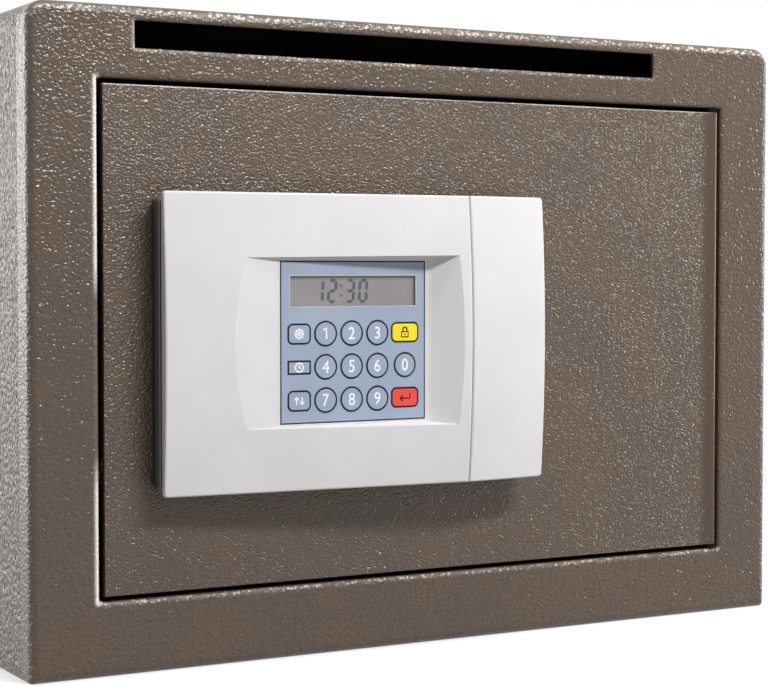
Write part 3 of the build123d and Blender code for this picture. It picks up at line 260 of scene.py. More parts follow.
def hammered_paint(name, colour, cell=1.1 * MM, along=(1.0, 1.0, 1.0), relief=0.34 * MM,
                   ripple=0.11 * MM, flecks=0.0, edge=0.5 * MM, edge_fade=None, smooth_edge=None,
                   busy=None, highlight_line=None):
    """Hammered powder coat: small mounds under a clear skin, some with a bright fleck.

    edge_fade and smooth_edge are ranges of X over which the rounded edge or the mounds run out.
    busy gives the ranges of Z and X over which the flecks, partly painted glints, grow dense.
    highlight_line is how unbroken the painted highlight line on the upper edges is.
    """
    finish = Finish(name, colour, 0.5)
    place = finish.stretched(along)
    wander = finish.noise(1.5 * cell, 1.0, place, 1)
    bent = finish.add("VectorMath", {0: wander, "Scale": 0.8 * cell}, operation="SCALE")
    moved = finish.add("VectorMath", {0: place, 1: bent}, operation="ADD")
    cells = {"Vector": moved, "Scale": 1 / cell}
    away = finish.add("TexVoronoi", cells)
    lot = finish.add("TexVoronoi", cells, 1)
    mound = finish.compute("POWER", away, 2.0)
    grain = finish.noise(0.7 * cell, 1.0, place)
    cloud = finish.noise(35 * MM, 2.0)
    # Darker in the hollows between the mounds: painted shade.
    shade = finish.mix(finish.span(mound, 0.0, 0.5), colour, tuple(0.8 * part for part in colour))
    shade = finish.mix(finish.span(cloud, 0.3, 0.7, 0.0, 0.3), shade, cloud_tint)
    strength = 1.0
    clear = clear_coat
    if smooth_edge:
        strength = finish.span(finish.axis("X"), *smooth_edge, 1.0, smooth_strength)
        clear = finish.span(finish.axis("X"), *smooth_edge, clear_coat, smooth_coat)
        # Painted shade: the colour darkens over the smooth band, standing in for the shading of the
        # rounded bend.
        shade = finish.mix(strength, tuple(painted_bend_shade * part for part in colour), shade)
    share = flecks
    if busy:
        top = finish.span(finish.axis("Z"), *busy["Z"], 0.0, busy_top)
        side = finish.span(finish.axis("X"), *busy["X"], flecks, busy_side)
        share = finish.compute("MULTIPLY", finish.compute("ADD", top, side), strength)
    # Pale flecks on some mounds: partly the paint's flake and partly painted glints, denser over
    # the busy ranges.
    picked = finish.compute("LESS_THAN", finish.add("SeparateColor", {"Color": lot}), share)
    vivid = finish.span(finish.add("SeparateColor", {"Color": lot}, 1), 0.0, 1.0, 0.2, 1.0)
    dot = finish.compute("MULTIPLY", finish.span(away, 0.12, 0.36, 1.0, 0.0), vivid)
    shade = finish.mix(finish.compute("MULTIPLY", dot, picked), shade, fleck_glint_colour)
    if edge_fade:
        edge = finish.span(finish.axis("X"), *edge_fade, 0.2 * MM, edge)
    round_edge = finish.add("Bevel", {"Radius": edge}, samples=6)
    # Painted highlight on the rounded edges that face up or aside.
    if highlight_line is not None:
        painted_highlight = painted_edge_highlight(finish, round_edge, away, highlight_line)
        shade = finish.mix(painted_highlight, shade, edge_highlight_colour)
    skin = finish.bump(mound, -relief, strength, round_edge)
    skin = finish.bump(grain, ripple, strength, skin)
    return finish.done(Base_Color=shade, Normal=skin, Coat_Weight=clear,
                       Coat_Roughness=coat_roughness, Coat_Normal=skin,
                       Specular_IOR_Level=paint_specular)


def moulded_plastic(name, colour, roughness, grain=0.35 * MM, depth=0.006 * MM):
    """Moulded plastic with a fine grain and a faint mottle."""
    finish = Finish(name, colour, roughness)
    cloud = finish.noise(25 * MM, 3.0)
    darker = tuple(0.95 * part for part in colour)
    shade = finish.mix(finish.span(cloud, 0.35, 0.65), darker, colour)
    shine = finish.span(finish.noise(6 * MM), 0.3, 0.7, roughness - 0.04, roughness + 0.04)
    skin = finish.bump(finish.noise(grain, 1.0), depth)
    return finish.done(Base_Color=shade, Roughness=shine, Normal=skin)


def dull_black():
    """Oiled black plastic that shows no shine."""
    finish = Finish("washer_black", (0.008, 0.008, 0.008), 0.8)
    skin = finish.bump(finish.noise(0.4 * MM), 0.01 * MM)
    return finish.done(Normal=skin, Specular_IOR_Level=0.05)


def base_with_painted_light():
    """Dark glossy base with a painted reflection band half-way out, a painted highlight line and a
    painted shadow under the shell.
    """
    finish = Finish("base_plastic", (0.035, 0.033, 0.032), 0.28)
    out = finish.compute("SUBTRACT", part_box("panel_base")[1].y, finish.axis("Y"))
    # Painted light along the depth: a reflection band, a highlight line, then the shadow under the
    # shell.
    band = finish.span(out, 2.8 * MM, 3.6 * MM, 0.0, 0.28)
    line = finish.span(out, 6.8 * MM, 7.3 * MM)
    under = finish.span(out, 8.0 * MM, 8.4 * MM)
    shade = finish.mix(band, (0.03, 0.028, 0.028), (0.3, 0.3, 0.31))
    shade = finish.mix(line, shade, (0.45, 0.45, 0.46))
    shade = finish.mix(under, shade, (0.008, 0.008, 0.009))
    skin = finish.bump(finish.noise(0.6 * MM), 0.004 * MM)
    return finish.done(Base_Color=shade, Normal=skin)


def printed_film(name, colour, roughness, shine=0.5):
    """Printed film with a fine matt texture."""
    finish = Finish(name, colour, roughness)
    weave = finish.noise(0.25 * MM, 1.0)
    cloud = finish.noise(14 * MM, 1.0)
    darker = tuple(0.93 * part for part in colour)
    shade = finish.mix(finish.span(cloud, 0.35, 0.65), darker, colour)
    skin = finish.bump(weave, 0.004 * MM)
    return finish.done(Base_Color=shade, Roughness=roughness, Normal=skin,
                       Specular_IOR_Level=shine)


def rolled_steel(name, colour, roughness, along):
    """Plated or ground steel with streaks along one direction and a dull patch here and there."""
    finish = Finish(name, colour, roughness, metallic=1.0)
    streaks = finish.noise(1.0, 4.0, place=finish.stretched(along))
    cloud = finish.noise(18 * MM, 3.0)
    darker = tuple(0.72 * part for part in colour)
    shade = finish.mix(finish.span(cloud, 0.3, 0.7), darker, colour)
    shine = finish.span(streaks, 0.3, 0.7, roughness - 0.1, roughness + 0.12)
    skin = finish.bump(streaks, 0.01 * MM)
    return finish.done(Base_Color=shade, Roughness=shine, Normal=skin)


def felt():
    """Needle felt: tangled fibres, soft sheen and pressed patches."""
    finish = Finish("felt", (0.05, 0.05, 0.056), 0.95)
    fibres = finish.noise(0.5 * MM, 5.0, place=finish.stretched((1.0, 1.0, 0.3)))
    tufts = finish.noise(3.5 * MM, 3.0)
    cloud = finish.noise(60 * MM, 2.0)
    amount = finish.compute("ADD", fibres, finish.span(cloud, 0.3, 0.7, -0.1, 0.1))
    shade = finish.mix(finish.span(amount, 0.3, 0.7), (0.03, 0.03, 0.034), (0.085, 0.084, 0.09))
    skin = finish.bump(fibres, 0.3 * MM)
    skin = finish.bump(tufts, 0.4 * MM, below=skin)
    return finish.done(Base_Color=shade, Normal=skin, Sheen_Weight=0.4, Sheen_Roughness=0.5)


def circuit_board():
    """Green solder resist with faint tracks."""
    finish = Finish("board_green", (0.02, 0.14, 0.06), 0.35)
    tracks = finish.add("TexBrick", {"Vector": finish.place, "Scale": 1 / (9 * MM),
                                     "Mortar Size": 0.06, "Color1": (0, 0, 0, 1),
                                     "Color2": (0, 0, 0, 1), "Mortar": (1, 1, 1, 1)})
    shade = finish.mix(tracks, (0.015, 0.12, 0.05), (0.05, 0.24, 0.11))
    skin = finish.bump(tracks, 0.03 * MM)
    return finish.done(Base_Color=shade, Normal=skin, Coat_Weight=0.4)


def cell_sleeve():
    """Plain battery sleeve, blue in the middle and black outside, with bare metal at both ends."""
    finish = Finish("cell_wrap", (0.03, 0.03, 0.035), 0.3)
    low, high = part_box("batteries")
    metal_start = (high.z - low.z) / 2 - 0.9 * MM
    band_start = 14 * MM
    away = finish.compute("SUBTRACT", finish.axis("Z"), (low.z + high.z) / 2)
    away = finish.compute("ABSOLUTE", away)
    bare = finish.compute("GREATER_THAN", away, metal_start)
    band = finish.compute("GREATER_THAN", away, band_start)
    sleeve = finish.mix(band, (0.025, 0.05, 0.10), (0.02, 0.02, 0.022))
    grain = finish.noise(0.4 * MM)
    shade = finish.mix(bare, sleeve, (0.7, 0.7, 0.68))
    skin = finish.bump(grain, 0.003 * MM)
    return finish.done(Base_Color=shade, Metallic=bare, Normal=skin)


def contact_block():
    """Black terminal block whose two contacts stand out in brass."""
    finish = Finish("power_terminals", (0.03, 0.03, 0.03), 0.4)
    contact_reach = 2.55 * MM
    block_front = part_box("power_terminals")[0].y + contact_reach
    brass_part = finish.compute("LESS_THAN", finish.axis("Y"), block_front)
    shade = finish.mix(brass_part, (0.02, 0.02, 0.021), (0.72, 0.55, 0.28))
    skin = finish.bump(finish.noise(0.3 * MM), 0.005 * MM)
    return finish.done(Base_Color=shade, Metallic=brass_part, Normal=skin)


def display_face():
    """Grey display with a faint mottle."""
    finish = Finish("display", (0.215, 0.195, 0.188), 0.35)
    cloud = finish.noise(9 * MM, 2.0)
    shade = finish.mix(finish.span(cloud, 0.35, 0.65), (0.205, 0.185, 0.178), (0.225, 0.205, 0.198))
    skin = finish.bump(finish.noise(0.15 * MM), 0.002 * MM)
    return finish.done(Base_Color=shade, Normal=skin)


def clear_pane():
    """Clear, glossy pane."""
    finish = Finish("clear", (0.9, 0.92, 0.92), 0.06)
    haze = finish.span(finish.noise(5 * MM, 3.0), 0.3, 0.7, 0.05, 0.09)
    return finish.done(Roughness=haze, Alpha=0.07)


def make_materials():
    """One material for each slot of the record, and the printing inks."""
    return {
        "body_paint": hammered_paint("body_paint", paint_colour, cell=1.6 * MM,
                                     along=(1.0, 1.2, 0.7), relief=0.8 * MM, ripple=0.27 * MM,
                                     edge=1.2 * MM),
        "frame_paint": hammered_paint("frame_paint", paint_colour, cell=1.6 * MM,
                                      along=(0.9, 1.0, 1.0), relief=0.2 * MM, ripple=0.46 * MM,
                                      flecks=0.004, edge=2.6 * MM, edge_fade=(-0.168, -0.160),
                                      highlight_line=0.1),
        "door_paint": hammered_paint("door_paint", paint_colour, cell=1.25 * MM,
                                     along=(1.0, 1.0, 1.25), relief=0.3 * MM, ripple=0.26 * MM,
                                     flecks=0.012, edge=0.9 * MM, edge_fade=(0.144, 0.140),
                                     smooth_edge=(0.137, 0.141),
                                     busy={"Z": (0.15, 0.205), "X": (0.04, 0.125)}, highlight_line=0.7),
        # Near-black paint on the slot's hood and ramp and on the hinge blocks: painted shade of the
        # dark slot and door gap.
        "chute_shade_paint": hammered_paint("chute_shade_paint", (0.012, 0.009, 0.008)),
        "washer_black": dull_black(),
        "cover_paint": hammered_paint("cover_paint", (0.045, 0.043, 0.041)),
        "zinc_steel": rolled_steel("zinc_steel", (0.62, 0.62, 0.60), 0.38, (40, 400, 40)),
        "bright_steel": rolled_steel("bright_steel", (0.70, 0.70, 0.69), 0.26, (2500, 60, 60)),
        "brass": rolled_steel("brass", (0.72, 0.55, 0.28), 0.28, (200, 200, 200)),
        "chrome": rolled_steel("chrome", (0.78, 0.78, 0.78), 0.14, (120, 120, 120)),
        "felt": felt(),
        "shell_plastic": moulded_plastic("shell_plastic", (0.70, 0.686, 0.688), 0.42),
        "base_plastic": base_with_painted_light(),
        "black_plastic": moulded_plastic("black_plastic", (0.022, 0.022, 0.023), 0.42),
        "rubber": moulded_plastic("rubber", (0.02, 0.02, 0.02), 0.75, 0.6 * MM, 0.02 * MM),
        "foil": printed_film("foil", (0.33, 0.392, 0.497), 0.42),
        "key_blue": printed_film("key_blue", (0.325, 0.38, 0.482), 0.38),
        "key_yellow": printed_film("key_yellow", (0.88, 0.71, 0.02), 0.38),
        "key_red": printed_film("key_red", (0.78, 0.065, 0.045), 0.38),
        "display": display_face(),
        "clear": clear_pane(),
        "board_green": circuit_board(),
        "cell_wrap": cell_sleeve(),
        "ink_navy": printed_film("ink_navy", (0.005, 0.010, 0.026), 0.45, 0.1),
        "ink_white": printed_film("ink_white", (0.86, 0.88, 0.9), 0.45),
        "ink_dark": printed_film("ink_dark", (0.035, 0.012, 0.01), 0.45, 0.1),
        "segment": printed_film("segment", (0.012, 0.013, 0.018), 0.5, 0.1),
        "print_light": printed_film("print_light", (0.55, 0.57, 0.60), 0.45),
        "power_terminals": contact_block(),
    }


def dress_cad_nodes():
    """Gives every CAD node the material of its slot, or the one listed for it here."""
    # The slot's hood and ramp and the hinge blocks take the near-black paint as painted shade.
    special = {"power_terminals": "power_terminals", "slot_hood": "chute_shade_paint",
               "slot_ramp": "chute_shade_paint", "front_frame": "frame_paint", "door_panel": "door_paint",
               "thrust_washers": "washer_black", "hinge_pins": "washer_black",
               "hinge_blocks": "chute_shade_paint"}
    for name, thing in nodes.items():
        slot = special.get(name) or thing.material_slots[0].material.name.split(".")[0]
        for material_slot in thing.material_slots:
            material_slot.material = materials[slot]


# Meshes

def rounded_outline(x, z, width, height, corner, steps=8):
    """Points of a rounded rectangle seen from the front, counterclockwise."""
    points = []
    for side_x, side_z, start in ((1, 1, 0), (-1, 1, 90), (-1, -1, 180), (1, -1, 270)):
        centre_x = x + side_x * (width / 2 - corner)
        centre_z = z + side_z * (height / 2 - corner)
        for step in range(steps + 1):
            angle = math.radians(start + 90 * step / steps)
            points.append((centre_x + corner * math.cos(angle),
                           centre_z + corner * math.sin(angle)))
    return points


def join_loops(mesh, first, second):
    """Faces between two closed loops with as many points."""
    for i in range(len(first)):
        j = (i + 1) % len(first)
        mesh.faces.new((first[i], first[j], second[j], second[i]))


def add_plate(mesh, outline, front, back, hole=None):
    """Flat piece facing the front, or the ring between an outline and a hole."""
    outer = [[mesh.verts.new((x, y, z)) for x, z in outline] for y in (front, back)]
    join_loops(mesh, outer[0], outer[1])
    if hole is None:
        mesh.faces.new(outer[0])
        mesh.faces.new(list(reversed(outer[1])))
        return
    inner = [[mesh.verts.new((x, y, z)) for x, z in hole] for y in (front, back)]
    join_loops(mesh, inner[1], inner[0])
    join_loops(mesh, inner[0], outer[0])
    join_loops(mesh, outer[1], inner[1])


def piece(mesh, name, material, body, smooth=False):
    """Turns a mesh in the making into an object that rides on a body."""
    bmesh.ops.recalc_face_normals(mesh, faces=mesh.faces)
    data = bpy.data.meshes.new(name)
    mesh.to_mesh(data)
    mesh.free()
    data.materials.append(materials[material])
    for face in data.polygons:
        face.use_smooth = smooth
    thing = bpy.data.objects.new(name, data)
    bpy.context.scene.collection.objects.link(thing)
    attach(thing, body)
    return thing


def flat_from_curve(curve, name, place, material, body):
    """Flat print made from a curve; place turns its x and y into a point of the front view."""
    maker = bpy.data.objects.new(name + "_curve", curve)
    bpy.context.scene.collection.objects.link(maker)
    bpy.context.view_layer.update()
    graph = bpy.context.evaluated_depsgraph_get()
    data = bpy.data.meshes.new_from_object(maker.evaluated_get(graph))
    bpy.data.objects.remove(maker)
    mesh = bmesh.new()
    mesh.from_mesh(data)
    for vertex in mesh.verts:
        vertex.co = place(vertex.co)
    bpy.data.meshes.remove(data)
    return piece(mesh, name, material, body)


def figure(name, text, middle, front, material, body):
    """A printed figure, centred at a point of the front view."""
    curve = bpy.data.curves.new(name, "FONT")
    curve.body = text
    curve.size = 1.0
    curve.extrude = 0.5
    curve.offset = 0.012
    curve.resolution_u = 6
    maker = bpy.data.objects.new(name + "_size", curve)
    bpy.context.scene.collection.objects.link(maker)
    bpy.context.view_layer.update()
    corners = [Vector(corner) for corner in maker.bound_box]
    bpy.data.objects.remove(maker)
    low_x, high_x = min(c.x for c in corners), max(c.x for c in corners)
    low_y, high_y = min(c.y for c in corners), max(c.y for c in corners)
    scale = figure_height / (high_y - low_y)

    def place(point):
        x = middle[0] + (point.x - (low_x + high_x) / 2) * scale * figure_width
        z = middle[1] + (point.y - (low_y + high_y) / 2) * scale
        return Vector((x, front - (point.z + 0.5) * print_height, z))

    return flat_from_curve(curve, name, place, material, body)


def drawn_mark(name, lines, stroke, middle, front, material, body):
    """A mark drawn with a round pen: lists of points in millimetres, open or closed."""
    curve = bpy.data.curves.new(name, "CURVE")
    curve.dimensions = "3D"
    curve.bevel_depth = stroke / 2
    curve.bevel_resolution = 2
    curve.use_fill_caps = True
    for points, closed in lines:
        spline = curve.splines.new("POLY")
        spline.points.add(len(points) - 1)
        for target, (x, z) in zip(spline.points, points):
            target.co = (x * MM, z * MM, 0, 1)
        spline.use_cyclic_u = closed

    def place(point):
        sunk = (point.z / (stroke / 2) + 1) / 2
        return Vector((middle[0] + point.x, front - sunk * print_height, middle[1] + point.y))

    return flat_from_curve(curve, name, place, material, body)


def arc(radius, start, end, steps, x=0.0, z=0.0):
    """Points on an arc, in millimetres and degrees."""
    angles = [math.radians(start + (end - start) * i / steps) for i in range(steps + 1)]
    return [(x + radius * math.cos(a), z + radius * math.sin(a)) for a in angles]


# Keypad

def key_face(name):
    """Centre, width, height and front of a key's cap."""
    low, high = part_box(name)
    middle = ((low.x + high.x) / 2, (low.z + high.z) / 2)
    return middle, high.x - low.x - 2 * key_flange, high.z - low.z - 2 * key_flange, low.y


def key_corner(width, height):
    """Corner radius of a key's cap."""
    if abs(width - height) < 0.1 * MM:
        return width / 2
    return function_key_corner if height > low_key_height else low_key_corner


def key_ring(name, middle, width, height, front):
    """Dark outline printed round a key."""
    corner = key_corner(width, height)
    inset = key_outline_width
    outer = rounded_outline(*middle, width, height, corner)
    inner = rounded_outline(*middle, width - 2 * inset, height - 2 * inset,
                            max(corner - inset, 0.1 * MM))
    mesh = bmesh.new()
    add_plate(mesh, outer, front - print_height, front, inner)
    piece(mesh, name + "_outline", "ink_navy", name)


def gear_mark():
    """Toothed ring with a hub hole."""
    teeth = 8
    rim = []
    for i in range(teeth):
        base = 360 * i / teeth
        rim += [arc(1.35, base - 14, base - 14, 1)[0], arc(1.9, base - 9, base - 9, 1)[0],
                arc(1.9, base + 9, base + 9, 1)[0], arc(1.35, base + 14, base + 14, 1)[0]]
    return [(rim, True), (arc(0.55, 0, 345, 15), True)]


def clock_mark():
    """Clock face with two hands."""
    return [(arc(1.75, 0, 345, 23), True), ([(0, 1.1), (0, 0), (0.8, -0.45)], False)]


def arrows_mark():
    """Arrow up and arrow down."""
    return [([(-2.1, 0.3), (-1.2, 1.5), (-0.3, 0.3)], False), ([(-1.2, 1.4), (-1.2, -1.5)], False),
            ([(0.3, -0.3), (1.2, -1.5), (2.1, -0.3)], False), ([(1.2, -1.4), (1.2, 1.5)], False)]


def padlock_mark():
    """Padlock."""
    body = [(-1.5, -1.9), (1.5, -1.9), (1.5, 0.2), (-1.5, 0.2)]
    shackle = [(-0.95, 0.3)] + arc(0.95, 180, 0, 10, 0, 1.0) + [(0.95, 0.3)]
    return [(body, True), (shackle, False), ([(0, -1.2), (0, -0.6)], False)]


def figure_one():
    """The figure 1 with its flag."""
    return [([(-0.95, 1.35), (0.35, 2.15), (0.35, -2.1)], False)]


def return_mark():
    """Bent arrow to the left."""
    return [([(2.4, 1.5), (2.4, -0.4), (-2.2, -0.4)], False),
            ([(-0.9, 0.8), (-2.2, -0.4), (-0.9, -1.6)], False)]


def mark_keys():
    """Outlines, figures and marks on the fifteen keys."""
    marks = {"key_settings": (gear_mark, "ink_white", mark_stroke),
             "key_clock": (clock_mark, "ink_white", mark_stroke),
             "key_mode": (arrows_mark, "ink_white", mark_stroke),
             "key_lock": (padlock_mark, "ink_dark", mark_stroke),
             "key_enter": (return_mark, "ink_dark", mark_stroke),
             "key_1": (figure_one, "ink_white", figure_stroke)}
    for name in [n for n in nodes if n.startswith("key_") and n in frame["bodies"]]:
        middle, width, height, front = key_face(name)
        key_ring(name, middle, width, height, front)
        if name in marks:
            draw, ink, stroke = marks[name]
            drawn_mark(name + "_mark", draw(), stroke, middle, front, ink, name)
        else:
            figure(name + "_figure", name[-1], middle, front, "ink_white", name)


# Display

def segment_bars():
    """The seven bars of a display figure, as ends in the unit cell."""
    return {"a": ((0, 1), (1, 1)), "b": ((1, 1), (1, 0.5)), "c": ((1, 0.5), (1, 0)),
            "d": ((0, 0), (1, 0)), "e": ((0, 0.5), (0, 0)), "f": ((0, 1), (0, 0.5)),
            "g": ((0, 0.5), (1, 0.5))}


def add_bar(mesh, start, end, left, low, front):
    """One bar: a long hexagon between two corners of the cell."""
    half = display_stroke / 2
    ends = []
    for u, v in (start, end):
        z = low + half + v * (display_text_height - 2 * half)
        x = left + half + u * (display_text_width - 2 * half)
        ends.append(Vector((x, z)))
    run = (ends[1] - ends[0]).normalized()
    side = Vector((-run.y, run.x)) * half
    tip = ends[0] + run * display_bar_gap
    tail = ends[1] - run * display_bar_gap
    corners = [tip, tip + run * half - side, tail - run * half - side, tail,
               tail - run * half + side, tip + run * half + side]
    slanted = [(p.x + (p.y - low) * display_slant, p.y) for p in corners]
    add_plate(mesh, slanted, front - print_height, front)


def display_figures(text):
    """Plain numbers on the display, seen through the pane."""
    lit = {"0": "abcdef", "1": "bc", "2": "abged", "3": "abgcd"}
    opening_low, opening_high = opening_of_display()
    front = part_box("lcd_module")[0].y - display_lift
    bottom = (opening_low.z + opening_high.z) / 2 - display_text_height / 2
    left = opening_low.x + display_text_left
    bars = segment_bars()
    mesh = bmesh.new()
    for sign in text:
        if sign == ":":
            for level in colon_levels:
                z = bottom + level * display_text_height
                dot = rounded_outline(left + colon_inset, z, colon_dot, colon_dot, 0.1 * MM, 2)
                add_plate(mesh, dot, front - print_height, front)
            left += colon_pitch
            continue
        for bar in lit[sign]:
            add_bar(mesh, *bars[bar], left, bottom, front)
        left += display_text_pitch
    piece(mesh, "display_figures", "segment", "door")


def opening_of_display():
    """Corners of the foil's opening: the pane reaches a little past it on all sides."""
    low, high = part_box("display_window")
    margin = Vector((pane_overlap, 0, pane_overlap))
    return low + margin, high - margin


def display_pane():
    """Thin clear pane behind the foil, with rounded corners."""
    low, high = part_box("display_window")
    x, z = (low.x + high.x) / 2, (low.z + high.z) / 2
    outline = rounded_outline(x, z, high.x - low.x, high.z - low.z, pane_corner, 4)
    mesh = bmesh.new()
    add_plate(mesh, outline, low.y, low.y + pane_thickness)
    pane = piece(mesh, "display_pane", "clear", "door")
    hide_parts("display_window")


def display_border():
    """Light line printed on the foil round the display opening."""
    low, high = opening_of_display()
    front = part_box("keypad_foil")[0].y
    x, z = (low.x + high.x) / 2, (low.z + high.z) / 2
    width, height = high.x - low.x, high.z - low.z
    inner = rounded_outline(x, z, width + 2 * border_gap, height + 2 * border_gap,
                            print_corner, 2)
    outer = rounded_outline(x, z, width + 2 * border_line, height + 2 * border_line,
                            3 * print_corner, 2)
    mesh = bmesh.new()
    add_plate(mesh, outer, front - print_height, front, inner)
    piece(mesh, "display_border", "print_light", "door")


def foil_gap_shadow():
    """Dark line along the rim of the foil: a painted shadow of the gap between the foil and the
    shell.
    """
    low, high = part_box("keypad_foil")
    x, z = (low.x + high.x) / 2, (low.z + high.z) / 2
    width, height = high.x - low.x, high.z - low.z
    outer = rounded_outline(x, z, width, height, print_corner, 2)
    inner = rounded_outline(x, z, width - 2 * foil_shadow_line, height - 2 * foil_shadow_line, print_corner, 2)
    mesh = bmesh.new()
    add_plate(mesh, outer, low.y - print_height, low.y, inner)
    piece(mesh, "foil_gap_shadow", "ink_navy", "door")


# Small hardware

def islands(name):
    """Boxes of the separate solids of a node."""
    mesh = bmesh.new()
    mesh.from_mesh(nodes[name].data)
    bmesh.ops.remove_doubles(mesh, verts=mesh.verts, dist=0.001 * MM)
    seen = set()
    boxes = []
    for start in mesh.verts:
        if start in seen:
            continue
        group = [start]
        seen.add(start)
        for vertex in group:
            for edge in vertex.link_edges:
                other = edge.other_vert(vertex)
                if other not in seen:
                    seen.add(other)
                    group.append(other)
        points = [v.co.copy() for v in group]
        boxes.append((Vector([min(p[i] for p in points) for i in range(3)]),
                      Vector([max(p[i] for p in points) for i in range(3)])))
    mesh.free()
    return boxes


def add_screw(mesh, low, high):
    """Round-headed screw along Y with a hexagon socket, in the box of the CAD screw."""
    x, z = (low.x + high.x) / 2, (low.z + high.z) / 2
    head = (high.x - low.x) / 2
    small = head < small_screw_head
    head_height = small_head_height if small else large_head_height
    shank = small_shank if small else large_shank
    seat = high.y - head_height
    socket = head * socket_share
    angles = [2 * math.pi * i / screw_steps for i in range(screw_steps)]

    def ring(radius, y):
        return [mesh.verts.new((x + radius * math.cos(a), y, z + radius * math.sin(a)))
                for a in angles]

    def hexagon(radius, y):
        points = []
        for a in angles:
            to_flat = (a % (math.pi / 3)) - math.pi / 6
            reach = radius * math.cos(math.pi / 6) / math.cos(to_flat)
            points.append(mesh.verts.new((x + reach * math.cos(a), y, z + reach * math.sin(a))))
        return points

    loops = [ring(shank * 0.6, low.y), ring(shank, low.y + shank * 0.5), ring(shank, seat),
             ring(head * 0.97, seat), ring(head, seat + head_height * 0.12),
             ring(head, seat + head_height * 0.5), ring(head * 0.9, seat + head_height * 0.82),
             ring(head * 0.68, high.y), hexagon(socket * 1.08, high.y),
             hexagon(socket, high.y - head_height * 0.08),
             hexagon(socket, high.y - head_height * 0.6)]
    for first, second in zip(loops, loops[1:]):
        join_loops(mesh, first, second)
    mesh.faces.new(loops[0])
    mesh.faces.new(loops[-1])


def socket_screws():
    """All the door's screws, with heads that a key fits."""
    mesh = bmesh.new()
    for low, high in islands("door_screws"):
        add_screw(mesh, low, high)
    screws = piece(mesh, "socket_screws", "zinc_steel", "door", smooth=True)
    screws.data.set_sharp_from_angle(angle=math.radians(35))
    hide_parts("door_screws")


def felt_mat():
    """Felt mat with soft edges and a slightly uneven top, which lies on the base plate."""
    source = nodes["floor_mat"]
    data = source.data.copy()
    data.name = "felt_mat"
    mat = bpy.data.objects.new("felt_mat", data)
    bpy.context.scene.collection.objects.link(mat)
    remesh = mat.modifiers.new("remesh", "REMESH")
    remesh.mode = "VOXEL"
    remesh.voxel_size = mat_voxel
    smooth = mat.modifiers.new("smooth", "SMOOTH")
    smooth.iterations = 3
    bpy.context.view_layer.update()
    graph = bpy.context.evaluated_depsgraph_get()
    soft = bpy.data.meshes.new_from_object(mat.evaluated_get(graph))
    mat.modifiers.clear()
    low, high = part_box("floor_mat")
    for vertex in soft.vertices:
        point = vertex.co
        wave = math.sin(point.x * mat_waves_x) * math.sin(point.y * mat_waves_y + 1) * mat_wave
        share = (point.z - low.z) / (high.z - low.z)
        vertex.co.z = min(max(point.z, low.z), high.z) + wave * share
    mat.data = soft
    soft.materials.clear()
    soft.materials.append(materials["felt"])
    for face in soft.polygons:
        face.use_smooth = True
    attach(mat, "cabinet")
    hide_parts("floor_mat")


# Setting

def set_camera():
    """The camera of the photograph."""
    data = bpy.data.cameras.new("camera")
    data.sensor_width = sensor_width
    data.lens = focal_pixels / picture_width * sensor_width
    data.clip_start = 0.01
    camera = bpy.data.objects.new("camera", data)
    camera.location = camera_place
    camera.rotation_euler = (math.radians(90 + camera_pitch), 0, math.radians(camera_yaw))
    bpy.context.scene.collection.objects.link(camera)
    bpy.context.scene.camera = camera


def add_lamp(name, place, target, width, height, power):
    """Soft rectangular lamp that looks at a point."""
    data = bpy.data.lights.new(name, "AREA")
    data.shape = "RECTANGLE"
    data.size = width
    data.size_y = height
    data.energy = power
    lamp = bpy.data.objects.new(name, data)
    lamp.location = place
    lamp.rotation_euler = (Vector(target) - Vector(place)).to_track_quat("-Z", "Y").to_euler()
    bpy.context.scene.collection.objects.link(lamp)


def white_when_seen(maker, when_seen, otherwise):
    """Shader that is one thing to the camera, mirrors and glass, and another to soft light."""
    path = maker.nodes.new("ShaderNodeLightPath")
    seen = path.outputs["Is Camera Ray"]
    for other in ("Is Glossy Ray", "Is Transmission Ray"):
        seen = maker.compute("MAXIMUM", seen, path.outputs[other])
    return maker.add("MixShader", {0: seen, 1: otherwise, 2: when_seen})


def set_world():
    """White surroundings that light the object only softly."""
    world = bpy.data.worlds.new("studio")
    world.use_nodes = True
    bpy.context.scene.world = world
    maker = NodeMaker(world.node_tree)
    maker.nodes.clear()
    soft = maker.add("Background", {"Color": white, "Strength": world_light})
    bright = maker.add("Background", {"Color": white, "Strength": 1.0})
    output = maker.nodes.new("ShaderNodeOutputWorld")
    maker.give(output, {"Surface": white_when_seen(maker, bright, soft)})


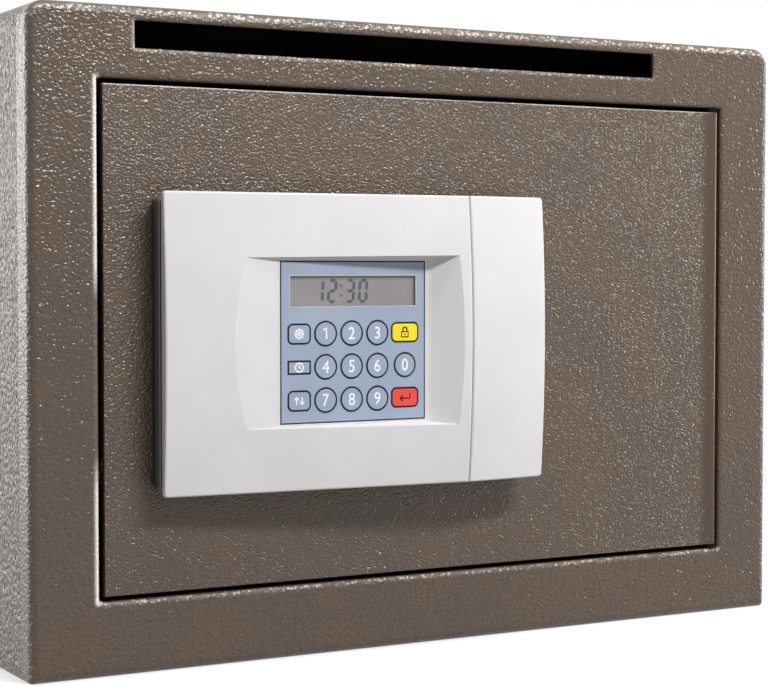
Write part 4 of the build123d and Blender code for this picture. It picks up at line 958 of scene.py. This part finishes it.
def floor_material():
    """Pale floor near the object that runs out into white."""
    material = bpy.data.materials.new("floor")
    material.use_nodes = True
    maker = NodeMaker(material.node_tree)
    diffuse = maker.nodes["Principled BSDF"]
    maker.give(diffuse, {"Base Color": (floor_grey, floor_grey, floor_grey, 1.0),
                         "Roughness": floor_roughness})
    glow = maker.add("Emission", {"Strength": floor_lift})
    near = maker.add("AddShader", {0: diffuse.outputs[0], 1: glow})
    place = maker.add("TexCoord", {}, "Object")
    away = maker.add("VectorMath", {0: place}, "Value", operation="LENGTH")
    fade = maker.span(away, floor_near, floor_far)
    faded = maker.add("MixShader", {0: fade, 1: near, 2: maker.add("Emission", {})})
    maker.give(maker.nodes["Material Output"],
               {"Surface": white_when_seen(maker, faded, diffuse.outputs[0])})
    return material


def lay_floor():
    """Large square floor that keeps the object's shadow."""
    corners = [(side_x * floor_reach, side_y * floor_reach, 0)
               for side_x, side_y in ((-1, -1), (1, -1), (1, 1), (-1, 1))]
    data = bpy.data.meshes.new("floor")
    data.from_pydata(corners, [], [(0, 1, 2, 3)])
    data.materials.append(floor_material())
    floor = bpy.data.objects.new("floor", data)
    bpy.context.scene.collection.objects.link(floor)


materials = make_materials()
dress_cad_nodes()
mark_keys()
display_figures("12:30")
display_pane()
display_border()
foil_gap_shadow()
socket_screws()
felt_mat()
set_camera()
set_world()
lay_floor()
add_lamp("key_light", place=(0.24, -0.88, 0.84), target=(0, -0.15, 0.12), width=0.5, height=0.12,
         power=11.2)
add_lamp("left_window", place=(-1.5, 0.6, 0.2), target=(-0.17, 0, 0.13), width=1.0, height=1.2,
         power=13)
add_lamp("right_light", place=(1.35, -0.30, 0.2), target=(0, -0.15, 0.13), width=0.3, height=0.5,
         power=6)
add_lamp("top_light", place=(-0.1, -0.5, 1.5), target=(0, -0.15, 0.25), width=0.4, height=0.2,
         power=7)
add_lamp("rear_left", place=(-1.0, 1.3, 0.2), target=(-0.17, 0, 0.1), width=0.9, height=1.2,
         power=19)
bpy.context.scene.view_settings.view_transform = "Standard"
